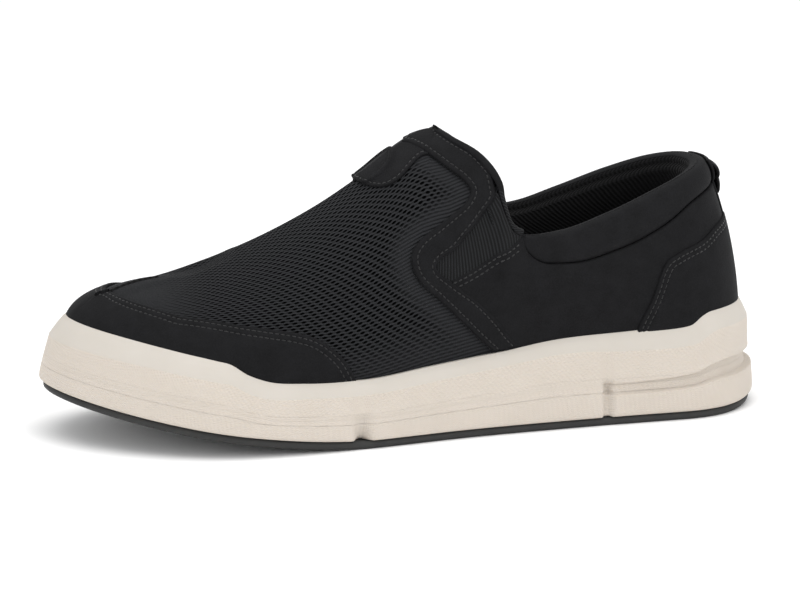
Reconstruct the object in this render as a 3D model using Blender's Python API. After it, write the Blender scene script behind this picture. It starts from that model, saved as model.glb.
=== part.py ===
"""Slip-on sneaker, left shoe: cup midsole, outsole, hollow upper and the panels sewn on it.

Run with: blender --background --python part.py
The shoe is drawn with the heel at x = 0 and the toe along +X, the wearer's left (the outer side)
along +Y and the floor at z = 0, and is centred on its box at the end. All sizes are in metres.
"""

import math

import bmesh
import bpy
import numpy as np
from mathutils import Matrix

MM = 0.001

# Main sizes of the shoe.
SOLE_LENGTH = 300 * MM
BALL_WIDTH = 108 * MM
INSTEP_HEIGHT = 117 * MM
TOE_SPRING = 19 * MM
HEEL_LIFT = 2.0 * MM

# The underside leaves the floor at these stations, which are shares of the length from the heel.
TOE_BREAK = 0.59
HEEL_BREAK = 0.08
TOE_CURVE = 1.5

# Rounding of the sole's outline, measured along the shoe.
TOE_ROUND = 72 * MM
HEEL_ROUND = 40 * MM

# Outsole: its edge stands in from the midsole, and grooves part its underside into lugs.
OUTSOLE_THICK = 3.2 * MM
OUTSOLE_INSET = 1.6 * MM
OUTSOLE_ROUND = 1.0 * MM
GROOVE_DEPTH = 1.4 * MM
GROOVE_WIDTH = 3.4 * MM
FORE_GROOVES = 6
FORE_GROOVE_LENGTH = 66 * MM
FORE_GROOVE_SPAN = (0.57, 0.87)
HEEL_GROOVES = 3
HEEL_GROOVE_LENGTH = 52 * MM
HEEL_GROOVE_SPAN = (0.09, 0.21)

# Midsole: a cup with a bevelled rim, a recess round the heel and a notch where the toes bend.
RIM_HEIGHT = 45 * MM
RIM_THICK = 2.2 * MM
RIM_BEVEL = 5.0 * MM
BOTTOM_ROUND = 1.4 * MM
HEEL_RECESS = 2.0 * MM
RECESS_END = (0.18, 0.30)
FLEX_STATION = 0.605
FLEX_WIDTH = 7.0 * MM
FLEX_DEPTH = 2.6 * MM
FLEX_SHARE = 0.62
BLOCK_STATION = 0.248
BLOCK_WIDTH = 3.6 * MM
BLOCK_DEPTH = 1.6 * MM
BLOCK_SHARE = 0.36
FOOT_INSET = 9.0 * MM
FLOOR_HEEL = 24 * MM
FLOOR_FORE = 11 * MM
FLOOR_SLOPE = (0.30, 0.65)
CUP_ROWS = (0.70, 0.35)
INSOLE_THICK = 4.5 * MM
INSOLE_ROUND = 1.2 * MM

# Upper and what is sewn on it.
WALL = 2.0 * MM
CUFF_PUFF = 1.8 * MM
OVERLAY = 1.3 * MM
GORE_THICK = 0.7 * MM
LINING_THICK = 6.0 * MM
LINING_HEM = 1.4 * MM
LINING_SWELL = 0.6
STRIP_WIDTH = 22 * MM
LOOP_WIDTH = 18 * MM
LOOP_HEIGHT = 12 * MM
LOOP_REACH = 4.0 * MM
LOOP_THICK = 1.4 * MM
FIT_GAP = 0.3 * MM
PANEL_GAP = 0.6 * MM
RIM_GAP = 1.0 * MM

# Plan outline of the sole: stations are shares of SOLE_LENGTH from the heel, widths are shares of
# BALL_WIDTH before the ends are rounded off. The centre drifts to the inner side at the toe.
OUTLINE_COLUMNS = ("station", "centre", "lateral", "medial")
OUTLINE = (
    (0.00, 0.000, 0.370, 0.370),
    (0.12, 0.000, 0.372, 0.368),
    (0.30, 0.000, 0.385, 0.352),
    (0.45, 0.000, 0.415, 0.352),
    (0.60, 0.000, 0.475, 0.420),
    (0.70, -0.004, 0.500, 0.462),
    (0.80, -0.020, 0.500, 0.478),
    (0.90, -0.050, 0.475, 0.470),
    (1.00, -0.085, 0.440, 0.450),
)

# Centre line of the vamp: heights are shares of INSTEP_HEIGHT.
RIDGE_COLUMNS = ("station", "height", "centre")
RIDGE = (
    (0.440, 1.000, 0.000),
    (0.465, 1.004, 0.000),
    (0.500, 0.970, 0.000),
    (0.550, 0.882, 0.000),
    (0.610, 0.785, 0.000),
    (0.680, 0.692, -0.004),
    (0.760, 0.605, -0.020),
    (0.840, 0.538, -0.035),
    (0.900, 0.512, -0.050),
)
POLE_STATION = 0.840
THROAT_STATION = 0.455
THROAT_FOOT = 0.520

# Topline from the middle of the throat (0) round one side to the middle of the heel (1).
TOPLINE_COLUMNS = ("share", "station", "half", "height")
TOPLINE = (
    (0.00, 0.455, 0.000, 1.003),
    (0.10, 0.445, 0.100, 0.985),
    (0.20, 0.416, 0.184, 0.938),
    (0.29, 0.397, 0.256, 0.862),
    (0.36, 0.393, 0.297, 0.780),
    (0.42, 0.384, 0.308, 0.718),
    (0.48, 0.362, 0.310, 0.686),
    (0.56, 0.310, 0.312, 0.694),
    (0.66, 0.248, 0.305, 0.742),
    (0.77, 0.178, 0.272, 0.808),
    (0.87, 0.120, 0.205, 0.858),
    (0.94, 0.092, 0.115, 0.878),
    (1.00, 0.083, 0.000, 0.882),
)

# Where the sections behind the throat reach the topline: the run is a share of the ring from the
# throat to the heel, the share is the topline's, and a vamp section is cut off at trim.
COLLAR_COLUMNS = ("run", "share", "trim")
COLLAR = (
    (0.000, 0.000, 1.00),
    (0.050, 0.098, 0.87),
    (0.100, 0.168, 0.79),
    (0.150, 0.242, 0.70),
    (0.185, 0.355, 0.56),
    (0.215, 0.420, 0.48),
    (0.300, 0.480, 0.42),
    (0.390, 0.548, 0.40),
    (0.590, 0.695, 0.40),
    (0.800, 0.850, 0.40),
    (1.000, 1.000, 0.40),
)
VAMP_TO_COLLAR = (0.05, 0.25)
RIDGE_SWEEP = 0.030

# Shape of each section: how far the wall leans out at the foot and falls away at the top, in
# degrees, and how far each end carries on in that direction, as a share of the section's chord.
# The inset is a share of FOOT_INSET.
SECTION_COLUMNS = ("foot", "inset", "lean", "rise", "fall", "reach")
SECTIONS = (
    (0.000, 1.00, 2.0, 0.30, 64.0, 0.30),
    (0.080, 1.00, 4.0, 0.30, 70.0, 0.30),
    (0.250, 1.00, 7.0, 0.32, 78.0, 0.28),
    (0.360, 1.00, 6.0, 0.34, 74.0, 0.26),
    (0.420, 1.00, 6.0, 0.36, 50.0, 0.26),
    (0.520, 1.00, 6.0, 0.42, 9.0, 0.32),
    (0.580, 1.00, 6.0, 0.42, 10.0, 0.30),
    (0.700, 1.00, 10.0, 0.44, 9.0, 0.30),
    (0.840, 1.10, 16.0, 0.48, 4.0, 0.40),
    (0.960, 1.40, 20.0, 0.50, 0.0, 0.50),
    (1.000, 1.50, 20.0, 0.50, 0.0, 0.52),
)

# Height of the midsole's rim as a share of RIM_HEIGHT: toe bumper, low side, heel step.
RIM_COLUMNS = ("station", "height")
RIM = (
    (0.000, 1.000),
    (0.080, 0.985),
    (0.095, 0.955),
    (0.120, 0.875),
    (0.200, 0.845),
    (0.320, 0.810),
    (0.400, 0.740),
    (0.500, 0.665),
    (0.600, 0.605),
    (0.680, 0.620),
    (0.735, 0.665),
    (0.760, 0.730),
    (0.785, 0.830),
    (0.800, 0.855),
    (0.900, 0.985),
    (1.000, 1.080),
)

# Side of the midsole from its foot (0) to the bevel (1): the lean is a share of the inset of the
# rim's edge, and the others are shares of BOTTOM_ROUND and HEEL_RECESS.
SIDE_COLUMNS = ("share", "lean", "round", "recess")
SIDE = (
    (0.00, 0.00, 1.00, 0.00),
    (0.05, 0.00, 0.30, 0.00),
    (0.14, 0.00, 0.00, 0.00),
    (0.32, 0.07, 0.00, 0.10),
    (0.36, 0.09, 0.00, 1.00),
    (0.54, 0.17, 0.00, 1.00),
    (0.60, 0.20, 0.00, 0.45),
    (1.00, 0.40, 0.00, 0.00),
)

# Places on the upper are a ring and an up, as for skin below. Top edge of the toe guard.
EDGE_COLUMNS = ("ring", "up")
GUARD_EDGE = (
    (0.000, 0.668),
    (0.060, 0.676),
    (0.110, 0.668),
    (0.145, 0.642),
    (0.210, 0.568),
    (0.263, 0.480),
    (0.305, 0.403),
    (0.338, 0.357),
    (0.372, 0.312),
    (0.390, 0.280),
    (0.406, 0.236),
    (0.422, 0.180),
    (0.438, 0.095),
)

# Seam under the padded cuff, from the cuff's front end at the topline to the heel.
CUFF_FRONT = 0.637
CUFF_RISE = (0.668, 0.705)
CUFF_SEAM = (
    (0.637, 0.970),
    (0.650, 0.870),
    (0.673, 0.765),
    (0.698, 0.738),
    (0.740, 0.722),
    (0.770, 0.730),
    (0.815, 0.748),
    (0.855, 0.780),
    (0.907, 0.838),
    (1.000, 0.850),
)

# Front and top edge of the heel counter.
COUNTER_EDGE = (
    (0.755, 0.020),
    (0.770, 0.155),
    (0.780, 0.240),
    (0.797, 0.352),
    (0.812, 0.450),
    (0.825, 0.532),
    (0.836, 0.575),
    (0.853, 0.598),
    (0.897, 0.623),
    (0.923, 0.650),
    (1.000, 0.665),
)

# Lower edge of the patch in front of the throat band.
PATCH_TIP = 0.430
PATCH_BACK = 0.502
PATCH_EDGE = (
    (0.430, 1.000),
    (0.437, 0.925),
    (0.447, 0.863),
    (0.458, 0.812),
    (0.468, 0.787),
    (0.480, 0.782),
    (0.490, 0.800),
    (0.502, 0.830),
)

# Edges drawn on the shoe's side: stations are shares of SOLE_LENGTH, heights of INSTEP_HEIGHT.
# The throat band runs from the ridge back along the topline, then forward and down to the rim.
SIDE_EDGE_COLUMNS = ("share", "station", "height")
BAND_START = 0.502
BAND_FRONT = (
    (0.05, 0.495, 0.969),
    (0.10, 0.485, 0.955),
    (0.17, 0.460, 0.906),
    (0.24, 0.440, 0.863),
    (0.29, 0.434, 0.833),
    (0.34, 0.443, 0.798),
    (0.40, 0.461, 0.765),
    (0.48, 0.488, 0.723),
    (0.55, 0.511, 0.688),
    (0.60, 0.523, 0.654),
    (0.64, 0.526, 0.626),
    (0.69, 0.524, 0.586),
    (0.75, 0.515, 0.545),
    (0.85, 0.486, 0.474),
    (0.90, 0.464, 0.419),
    (0.95, 0.440, 0.356),
    (1.00, 0.413, 0.291),
)
BAND_BACK = (
    (0.05, 0.449, 0.990),
    (0.10, 0.437, 0.972),
    (0.17, 0.420, 0.937),
    (0.24, 0.406, 0.893),
    (0.29, 0.402, 0.851),
    (0.34, 0.401, 0.826),
    (0.40, 0.406, 0.797),
    (0.44, 0.416, 0.770),
    (0.48, 0.429, 0.733),
    (0.55, 0.446, 0.689),
    (0.60, 0.464, 0.646),
    (0.64, 0.482, 0.621),
    (0.67, 0.490, 0.602),
    (0.70, 0.490, 0.582),
    (0.75, 0.477, 0.553),
    (0.80, 0.459, 0.518),
    (0.86, 0.434, 0.471),
    (0.92, 0.407, 0.402),
    (0.96, 0.391, 0.347),
    (1.00, 0.376, 0.307),
)

# Top edge of the quarter, which carries the elastic.
QUARTER_EDGE = (
    (0.00, 0.498, 0.526),
    (0.15, 0.483, 0.539),
    (0.35, 0.457, 0.562),
    (0.57, 0.429, 0.596),
    (0.78, 0.402, 0.637),
    (0.92, 0.379, 0.668),
    (1.00, 0.366, 0.690),
)

# Other places of the panels: rings, ups, and stretches of the band's rear edge. The last two are
# the gap between the edges of two panels and the least step between two columns.
GORE_FRONT = 0.538
QUARTER_FRONT = 0.548
GUARD_END = 0.430
COUNTER_START = 0.778
BAND_OVER_GORE = (0.34, 0.69)
BAND_OVER_QUARTER = (0.70, 1.00)
GORE_TOP = 0.985
LINING_START = 0.630
LINING_FOOT = 0.450
LINING_FADE = 0.050
STRIP_TOP = 0.995
LOOP_TOP = 0.975
EDGE_GAP = 0.006
COLUMN_GAP = 0.004

# Rows of the upper below and above the cuff's seam, as shares of those two stretches.
ROWS_BELOW_SEAM = (0.00, 0.17, 0.36, 0.58, 0.80, 1.00)
ROWS_ABOVE_SEAM = (0.12, 0.45, 0.80, 1.00)
ROW_SEAM_RING, ROW_SEAM_UP = 0.673, 0.765


class Table:
    """Rows of values at stations. A call reads one column, joined smoothly between the rows."""

    def __init__(self, columns, rows, steady=False, mirrored=(), odd=()):
        self.columns = columns
        self.rows = np.array(rows, float)
        self.steady = steady
        self.mirrored = mirrored
        self.odd = odd

    def column(self, name):
        index = self.columns.index(name)
        keys, values = self.rows[:, 0], self.rows[:, index]
        if self.mirrored:
            sign = -1 if name in self.odd else 1
            before = (2 * keys[0] - keys[1], sign * values[1] + (1 - sign) * values[0])
            after = (2 * keys[-1] - keys[-2], sign * values[-2] + (1 - sign) * values[-1])
            keys = np.concatenate([[before[0]], keys, [after[0]]])
            values = np.concatenate([[before[1]], values, [after[1]]])
        return keys, values

    def slopes(self, keys, values):
        step = np.diff(keys)
        secant = np.diff(values) / step
        inner = (secant[:-1] * step[1:] + secant[1:] * step[:-1]) / (step[:-1] + step[1:])
        if self.steady:
            low = 3 * np.minimum(abs(secant[:-1]), abs(secant[1:]))
            inner = np.where(
                secant[:-1] * secant[1:] > 0,
                np.sign(inner) * np.minimum(abs(inner), low),
                0,
            )
        return np.concatenate([[secant[0]], inner, [secant[-1]]])

    def __call__(self, name, at):
        keys, values = self.column(name)
        slope = self.slopes(keys, values)
        at = np.clip(np.asarray(at, float), self.rows[0, 0], self.rows[-1, 0])
        i = np.clip(np.searchsorted(keys, at, side="right") - 1, 0, len(keys) - 2)
        width = keys[i + 1] - keys[i]
        t = (at - keys[i]) / width
        return (
            values[i] * (1 + 2 * t) * (1 - t) ** 2
            + slope[i] * width * t * (1 - t) ** 2
            + values[i + 1] * t**2 * (3 - 2 * t)
            + slope[i + 1] * width * t**2 * (t - 1)
        )


outline_table = Table(OUTLINE_COLUMNS, OUTLINE)
ridge_table = Table(RIDGE_COLUMNS, RIDGE)
collar_table = Table(COLLAR_COLUMNS, COLLAR, steady=True)
topline_table = Table(TOPLINE_COLUMNS, TOPLINE, mirrored=True, odd=("half",))
section_table = Table(SECTION_COLUMNS, SECTIONS)
rim_table = Table(RIM_COLUMNS, RIM, steady=True)
side_table = Table(SIDE_COLUMNS, SIDE, steady=True)
guard_table = Table(EDGE_COLUMNS, GUARD_EDGE)
quarter_table = Table(SIDE_EDGE_COLUMNS, QUARTER_EDGE)
seam_table = Table(EDGE_COLUMNS, CUFF_SEAM, steady=True)
counter_table = Table(EDGE_COLUMNS, COUNTER_EDGE, steady=True)
band_front = Table(SIDE_EDGE_COLUMNS, BAND_FRONT)
band_back = Table(SIDE_EDGE_COLUMNS, BAND_BACK)
patch_table = Table(EDGE_COLUMNS, PATCH_EDGE)


def unit(vectors):
    return vectors / np.linalg.norm(vectors, axis=-1, keepdims=True)


def stacked(x, y, z):
    return np.stack(np.broadcast_arrays(x, y, z), axis=-1)


# The ring round the shoe runs from -1 to 1: 0 is the toe tip, 1 and -1 are the middle of the heel,
# and the lateral side is positive.
TOE_ARC = math.pi / 2 * TOE_ROUND
HEEL_ARC = math.pi / 2 * HEEL_ROUND
STRAIGHT = SOLE_LENGTH - TOE_ROUND - HEEL_ROUND
RING_LENGTH = TOE_ARC + STRAIGHT + HEEL_ARC


def station_of(ring):
    """Share of the sole's length at a place on the ring."""
    run = np.abs(ring) * RING_LENGTH
    toe = SOLE_LENGTH - TOE_ROUND * (1 - np.cos(np.clip(run / TOE_ROUND, 0, math.pi / 2)))
    middle = SOLE_LENGTH - TOE_ROUND - (run - TOE_ARC)
    left = np.clip((RING_LENGTH - run) / HEEL_ROUND, 0, math.pi / 2)
    heel = HEEL_ROUND * (1 - np.cos(left))
    x = np.where(run < TOE_ARC, toe, np.where(run < TOE_ARC + STRAIGHT, middle, heel))
    return x / SOLE_LENGTH


def ring_of(station):
    """The place on the ring, 0 to 1, of a station."""
    x = station * SOLE_LENGTH
    if x > SOLE_LENGTH - TOE_ROUND:
        run = TOE_ROUND * math.acos(1 - (SOLE_LENGTH - x) / TOE_ROUND)
    elif x > HEEL_ROUND:
        run = TOE_ARC + SOLE_LENGTH - TOE_ROUND - x
    else:
        run = RING_LENGTH - HEEL_ROUND * math.acos(1 - x / HEEL_ROUND)
    return run / RING_LENGTH


def end_rounding(station):
    x = station * SOLE_LENGTH
    toe = np.clip((x - SOLE_LENGTH + TOE_ROUND) / TOE_ROUND, 0, 1)
    heel = np.clip((HEEL_ROUND - x) / HEEL_ROUND, 0, 1)
    return np.sqrt(np.clip(1 - toe**2, 0, 1)) * np.sqrt(np.clip(1 - heel**2, 0, 1))


def sole_edge(ring):
    """Widest outline of the sole in plan."""
    ring = (np.asarray(ring, float) + 1) % 2 - 1
    station = station_of(ring)
    lateral = outline_table("lateral", station)
    medial = outline_table("medial", station)
    half = np.where(ring >= 0, lateral, -medial) * end_rounding(station)
    y = (outline_table("centre", station) + half) * BALL_WIDTH
    return stacked(station * SOLE_LENGTH, y, 0.0)


def outward(ring):
    """Level direction out of the outline."""
    step = 0.002
    along = sole_edge(ring + step) - sole_edge(ring - step)
    return unit(stacked(-along[..., 1], along[..., 0], 0.0)) * -1


def inset_edge(ring, inset):
    inset = np.asarray(inset, float)[..., None]
    return sole_edge(ring) - outward(ring) * inset


def ground(station):
    """Height of the outsole's underside: flat, with toe spring and a slight lift at the heel."""
    toe = np.clip((station - TOE_BREAK) / (1 - TOE_BREAK), 0, 1)
    heel = np.clip((HEEL_BREAK - station) / HEEL_BREAK, 0, 1)
    return TOE_SPRING * toe**TOE_CURVE + HEEL_LIFT * heel**2


def floor_height(station):
    """Height of the midsole's floor inside the cup."""
    start, end = FLOOR_SLOPE
    thick = FLOOR_HEEL + (FLOOR_FORE - FLOOR_HEEL) * smooth((station - start) / (end - start))
    return ground(station) + OUTSOLE_THICK + thick


def rim_height(ring):
    return rim_table("height", station_of(ring)) * RIM_HEIGHT


def ridge_point(station):
    y = ridge_table("centre", station) * BALL_WIDTH
    z = ridge_table("height", station) * INSTEP_HEIGHT
    return stacked(station * SOLE_LENGTH, y, z)


def ridge_direction(station, step=0.004):
    return unit(ridge_point(station + step) - ridge_point(station - step))


RING_POLE = ring_of(POLE_STATION)
RING_THROAT = ring_of(THROAT_FOOT)
ACROSS = np.array([0.0, 1.0, 0.0])
UP = np.array([0.0, 0.0, 1.0])


def smooth(share):
    share = np.clip(share, 0, 1)
    return share * share * (3 - 2 * share)


def top_station(ring):
    """Station of the ridge over a place on the ring, carried on behind the throat."""
    ring = np.abs(ring)
    share = (ring - RING_POLE) / (RING_THROAT - RING_POLE)
    ahead = POLE_STATION + (THROAT_STATION - POLE_STATION) * np.clip(share, 0, 1)
    return ahead - np.clip(ring - RING_THROAT, 0, 1) * RING_LENGTH / SOLE_LENGTH


def collar_run(ring):
    return np.clip((np.abs(ring) - RING_THROAT) / (1 - RING_THROAT), 0, 1)


def collar_point(ring):
    """A point of the topline."""
    share = collar_table("share", collar_run(ring))
    return stacked(
        topline_table("station", share) * SOLE_LENGTH,
        topline_table("half", share) * BALL_WIDTH * np.where(ring >= 0, 1.0, -1.0),
        topline_table("height", share) * INSTEP_HEIGHT,
    )


def foot_inset(ring):
    return section_table("inset", station_of(ring)) * FOOT_INSET


def foot_point(ring):
    """Lower end of a section, on the midsole's floor."""
    edge = inset_edge(ring, foot_inset(ring))
    edge[..., 2] = floor_height(station_of(ring)) + FIT_GAP
    return edge


def section(ring, foot, top, away, station, up):
    """A curve from the foot to the top, where it comes in from the level direction away."""
    chord = np.linalg.norm(top - foot, axis=-1, keepdims=True)
    lean = np.radians(section_table("lean", station))[..., None]
    rise = section_table("rise", station)[..., None]
    fall = np.radians(section_table("fall", station))[..., None]
    reach = section_table("reach", station)[..., None]
    low = foot + (outward(ring) * np.sin(lean) + UP * np.cos(lean)) * rise * chord
    high = top + (away * np.cos(fall) - UP * np.sin(fall)) * reach * chord
    t = up[..., None]
    return (
        foot * (1 - t) ** 3
        + low * 3 * t * (1 - t) ** 2
        + high * 3 * t**2 * (1 - t)
        + top * t**3
    )


def skin(ring, up):
    """The upper's outer face: up runs from 0 at the foot to 1 at the ridge or topline."""
    ring, up = np.broadcast_arrays(np.asarray(ring, float), np.asarray(up, float))
    ring = (ring + 1) % 2 - 1
    side = np.where(ring >= 0, 1.0, -1.0)[..., None]
    station = station_of(ring)
    foot = foot_point(ring)
    run = collar_run(ring)

    # Vamp: sections that close on the ridge, cut off at the topline behind the throat.
    ridge = ridge_point(top_station(ring))
    level = foot - ridge
    turn = np.arctan2(np.abs(level[..., 1]), level[..., 0])[..., None]
    along = ridge_direction(top_station(ring), RIDGE_SWEEP)
    away = np.cos(turn) * along + np.sin(turn) * side * ACROSS
    trim = collar_table("trim", run)
    ahead = np.maximum(station, THROAT_FOOT)
    vamp = section(ring, foot, ridge, away, ahead, up * trim)
    vamp_end = section(ring, foot, ridge, away, ahead, trim)

    # Collar: sections that end on the topline.
    edge = np.where((run > 0)[..., None], collar_point(ring), ridge)
    collar = section(ring, foot, edge, outward(ring), station, up)

    start, end = VAMP_TO_COLLAR
    share = smooth((run - start) / (end - start))[..., None]
    left = (1 - share) * (edge - vamp_end)
    return vamp * (1 - share) + collar * share + left * up[..., None] ** 3


def skin_normal(ring, up):
    ring, up = np.broadcast_arrays(np.asarray(ring, float), np.asarray(up, float))
    step = 0.002
    level = np.clip(up, 0.004, 0.996)
    around = skin(ring + step, level) - skin(ring - step, level)
    rising = skin(ring, level + step) - skin(ring, level - step)
    normal = unit(np.cross(around, rising))
    ridge = np.cross(ridge_direction(top_station(ring)), ACROSS)
    on_ridge = (up > 0.9999) & (np.abs((ring + 1) % 2 - 1) <= RING_THROAT + 1e-9)
    return np.where(on_ridge[..., None], unit(ridge), normal)


def wall(ring, up, proud=0.0):
    """A point of the upper, moved out of its face by proud."""
    proud = np.asarray(proud, float)[..., None]
    return skin(ring, up) + skin_normal(ring, up) * proud


def rim_up(ring, above=0.0):
    """How far up the upper the midsole's rim reaches, or a height above the rim."""
    low = np.zeros(np.shape(ring))
    high = np.ones(np.shape(ring))
    level = rim_height(ring) + above
    for _ in range(30):
        middle = (low + high) / 2
        under = skin(ring, middle)[..., 2] < level
        low = np.where(under, middle, low)
        high = np.where(under, high, middle)
    return low


def locate(station, height):
    """The place on the lateral side of the upper that has this station and height."""
    wanted = np.stack([station * SOLE_LENGTH, height * INSTEP_HEIGHT], axis=-1)
    ring, up = np.meshgrid(np.linspace(0.3, 0.95, 131), np.linspace(0, 0.98, 50), indexing="ij")
    known = skin(ring, up)[..., [0, 2]].reshape(-1, 2)
    nearest = np.linalg.norm(wanted[:, None] - known, axis=-1).argmin(axis=1)
    ring, up = ring.ravel()[nearest], up.ravel()[nearest]
    step = 0.001
    for _ in range(12):
        here = skin(ring, up)[..., [0, 2]]
        by_ring = (skin(ring + step, up)[..., [0, 2]] - here) / step
        by_up = (skin(ring, up - step)[..., [0, 2]] - here) / -step
        miss = wanted - here
        area = by_ring[:, 0] * by_up[:, 1] - by_ring[:, 1] * by_up[:, 0]
        ring = ring + (miss[:, 0] * by_up[:, 1] - miss[:, 1] * by_up[:, 0]) / area * 0.7
        up = up + (by_ring[:, 0] * miss[:, 1] - by_ring[:, 1] * miss[:, 0]) / area * 0.7
        up = np.clip(up, 0, 1)
    return ring, up


def cuff_puff(ring, up):
    """How far the padded cuff swells out of the upper between its seam and the topline."""
    ring = np.abs((np.asarray(ring, float) + 1) % 2 - 1)
    seam = seam_table("up", ring)
    share = np.clip((up - seam) / (1 - seam), 0, 1)
    start, full = CUFF_RISE
    fade = smooth((ring - start) / (full - start))
    return CUFF_PUFF * fade * np.sqrt(np.sin(math.pi * share).clip(0, 1))


def face(ring, up, proud=0.0):
    """A point proud of the upper's outer face, padding included."""
    return wall(ring, up, cuff_puff(ring, up) + proud)


# Building blocks. A sheet is a grid of places, and a shell is the solid between two faces of it.


def material(name, colour, roughness, metallic=0.0):
    made = bpy.data.materials.new(name)
    made.use_nodes = True
    shader = made.node_tree.nodes["Principled BSDF"]
    shader.inputs["Base Color"].default_value = (*colour, 1.0)
    shader.inputs["Roughness"].default_value = roughness
    shader.inputs["Metallic"].default_value = metallic
    return made


def add_object(name, points, faces, look):
    mesh = bpy.data.meshes.new(name)
    mesh.from_pydata([tuple(point) for point in points], [], faces)
    mesh.materials.append(look)
    mesh.shade_smooth()
    mesh.set_sharp_from_angle(angle=math.radians(40))
    made = bpy.data.objects.new(name, mesh)
    shoe.objects.link(made)
    made.parent = root
    return made


def shell(name, sheets, outer, inner, look):
    """A closed solid between two faces of the same sheets, welded where their places meet."""
    places, out_points, in_points, faces = {}, [], [], []
    for ring, up in sheets:
        ring, up = np.broadcast_arrays(ring, up)
        high, low = outer(ring, up), inner(ring, up)
        index = np.zeros(ring.shape, int)
        for at in np.ndindex(ring.shape):
            key = tuple(np.round(high[at], 6) + 0.0)
            if key not in places:
                places[key] = len(places)
                out_points.append(high[at])
                in_points.append(low[at])
            index[at] = places[key]
        for i in range(ring.shape[0] - 1):
            for j in range(ring.shape[1] - 1):
                loop = [index[i, j], index[i + 1, j], index[i + 1, j + 1], index[i, j + 1]]
                loop = list(dict.fromkeys(loop))
                if len(loop) > 2:
                    faces.append(loop)
    count = len(places)
    edges = {edge for loop in faces for edge in zip(loop, loop[1:] + loop[:1])}
    border = [(a, b) for a, b in edges if (b, a) not in edges]
    back = [[corner + count for corner in reversed(loop)] for loop in faces]
    sides = [(b, a, a + count, b + count) for a, b in border]
    return add_object(name, out_points + in_points, faces + back + sides, look)


def ruled_solid(name, loops, look):
    """A solid through closed loops, each from the toe round both sides, with flat-ruled ends."""
    count = len(loops[0])
    half = count // 2
    points = np.concatenate(loops)
    faces = []
    for row in range(len(loops) - 1):
        low, high = row * count, (row + 1) * count
        for j in range(count):
            k = (j + 1) % count
            faces.append((low + j, low + k, high + k, high + j))
    last = (len(loops) - 1) * count
    for start, flip in ((0, True), (last, False)):
        for j in range(half):
            loop = [start + j, start + j + 1, start + count - j - 1, start + (count - j) % count]
            loop = list(dict.fromkeys(loop))
            faces.append(loop[::-1] if flip else loop)
    return add_object(name, points, faces, look)


# Columns round the shoe, which the sole, the upper and the linings share, closest at the throat.
TOE_STEPS, VAMP_STEPS, CREST_STEPS, THROAT_STEPS, QUARTER_STEPS = 8, 7, 5, 11, 11
THROAT_FROM, THROAT_TO = 0.465, 0.640
RING_HALF = np.concatenate([
    np.linspace(0, RING_POLE, TOE_STEPS, endpoint=False),
    np.linspace(RING_POLE, THROAT_FROM, VAMP_STEPS, endpoint=False),
    np.linspace(THROAT_FROM, RING_THROAT, CREST_STEPS, endpoint=False),
    np.linspace(RING_THROAT, THROAT_TO, THROAT_STEPS, endpoint=False),
    np.linspace(THROAT_TO, 1, QUARTER_STEPS + 1),
])


def sole_rings():
    """Columns of the sole, with three more at each notch, as a closed loop from the toe."""
    extra = []
    for station, width in ((FLEX_STATION, FLEX_WIDTH), (BLOCK_STATION, BLOCK_WIDTH)):
        half = width / 2 / RING_LENGTH
        middle = ring_of(station)
        extra += [middle - half, middle, middle + half]
    clear = [ring for ring in RING_HALF if min(abs(ring - at) for at in extra) > COLUMN_GAP / 2]
    half = np.array(sorted(clear + extra))
    return np.concatenate([half, -half[-2:0:-1]])


def notch(ring, share, station, width, depth, top):
    """A wedge cut into the midsole's side, deepest at the foot."""
    away = np.abs(np.abs(ring) - ring_of(station)) * RING_LENGTH / (width / 2)
    return depth * np.clip(1 - away, 0, 1) * np.clip(1 - share / top, 0, 1)


def at_height(points, height):
    points = points.copy()
    points[..., 2] = height
    return points


def make_outsole(look):
    ring = sole_rings()
    low = ground(station_of(ring))
    wide = inset_edge(ring, np.full(ring.shape, OUTSOLE_INSET))
    under = inset_edge(ring, np.full(ring.shape, OUTSOLE_INSET + OUTSOLE_ROUND))
    loops = [
        at_height(under, low),
        at_height(wide, low + OUTSOLE_ROUND),
        at_height(wide, low + OUTSOLE_THICK),
    ]
    outsole = ruled_solid("outsole", loops, look)
    cut = outsole.modifiers.new("lug grooves", "BOOLEAN")
    cut.operation = "DIFFERENCE"
    cut.solver = "EXACT"
    cut.object = make_groove_cutter()
    return outsole


def make_groove_cutter():
    """Bars across the outsole's underside, which part its forefoot and heel into lugs."""
    fore = [(at, FORE_GROOVE_LENGTH) for at in np.linspace(*FORE_GROOVE_SPAN, FORE_GROOVES)]
    heel = [(at, HEEL_GROOVE_LENGTH) for at in np.linspace(*HEEL_GROOVE_SPAN, HEEL_GROOVES)]
    work = bmesh.new()
    for station, length in fore + heel:
        rise = (ground(station + 0.01) - ground(station - 0.01)) / (0.02 * SOLE_LENGTH)
        size = Matrix.Diagonal((GROOVE_WIDTH, length, 2 * GROOVE_DEPTH, 1))
        middle = outline_table("centre", station) * BALL_WIDTH
        place = Matrix.Translation((station * SOLE_LENGTH, middle, ground(station)))
        tilt = Matrix.Rotation(-math.atan(rise), 4, "Y")
        bmesh.ops.create_cube(work, size=1.0, matrix=place @ tilt @ size)
    mesh = bpy.data.meshes.new("lug_groove_cutter")
    work.to_mesh(mesh)
    work.free()
    cutter = bpy.data.objects.new("lug_groove_cutter", mesh)
    cutters.objects.link(cutter)
    cutter.parent = root
    cutter.hide_render = True
    cutter.display_type = "WIRE"
    return cutter


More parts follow.
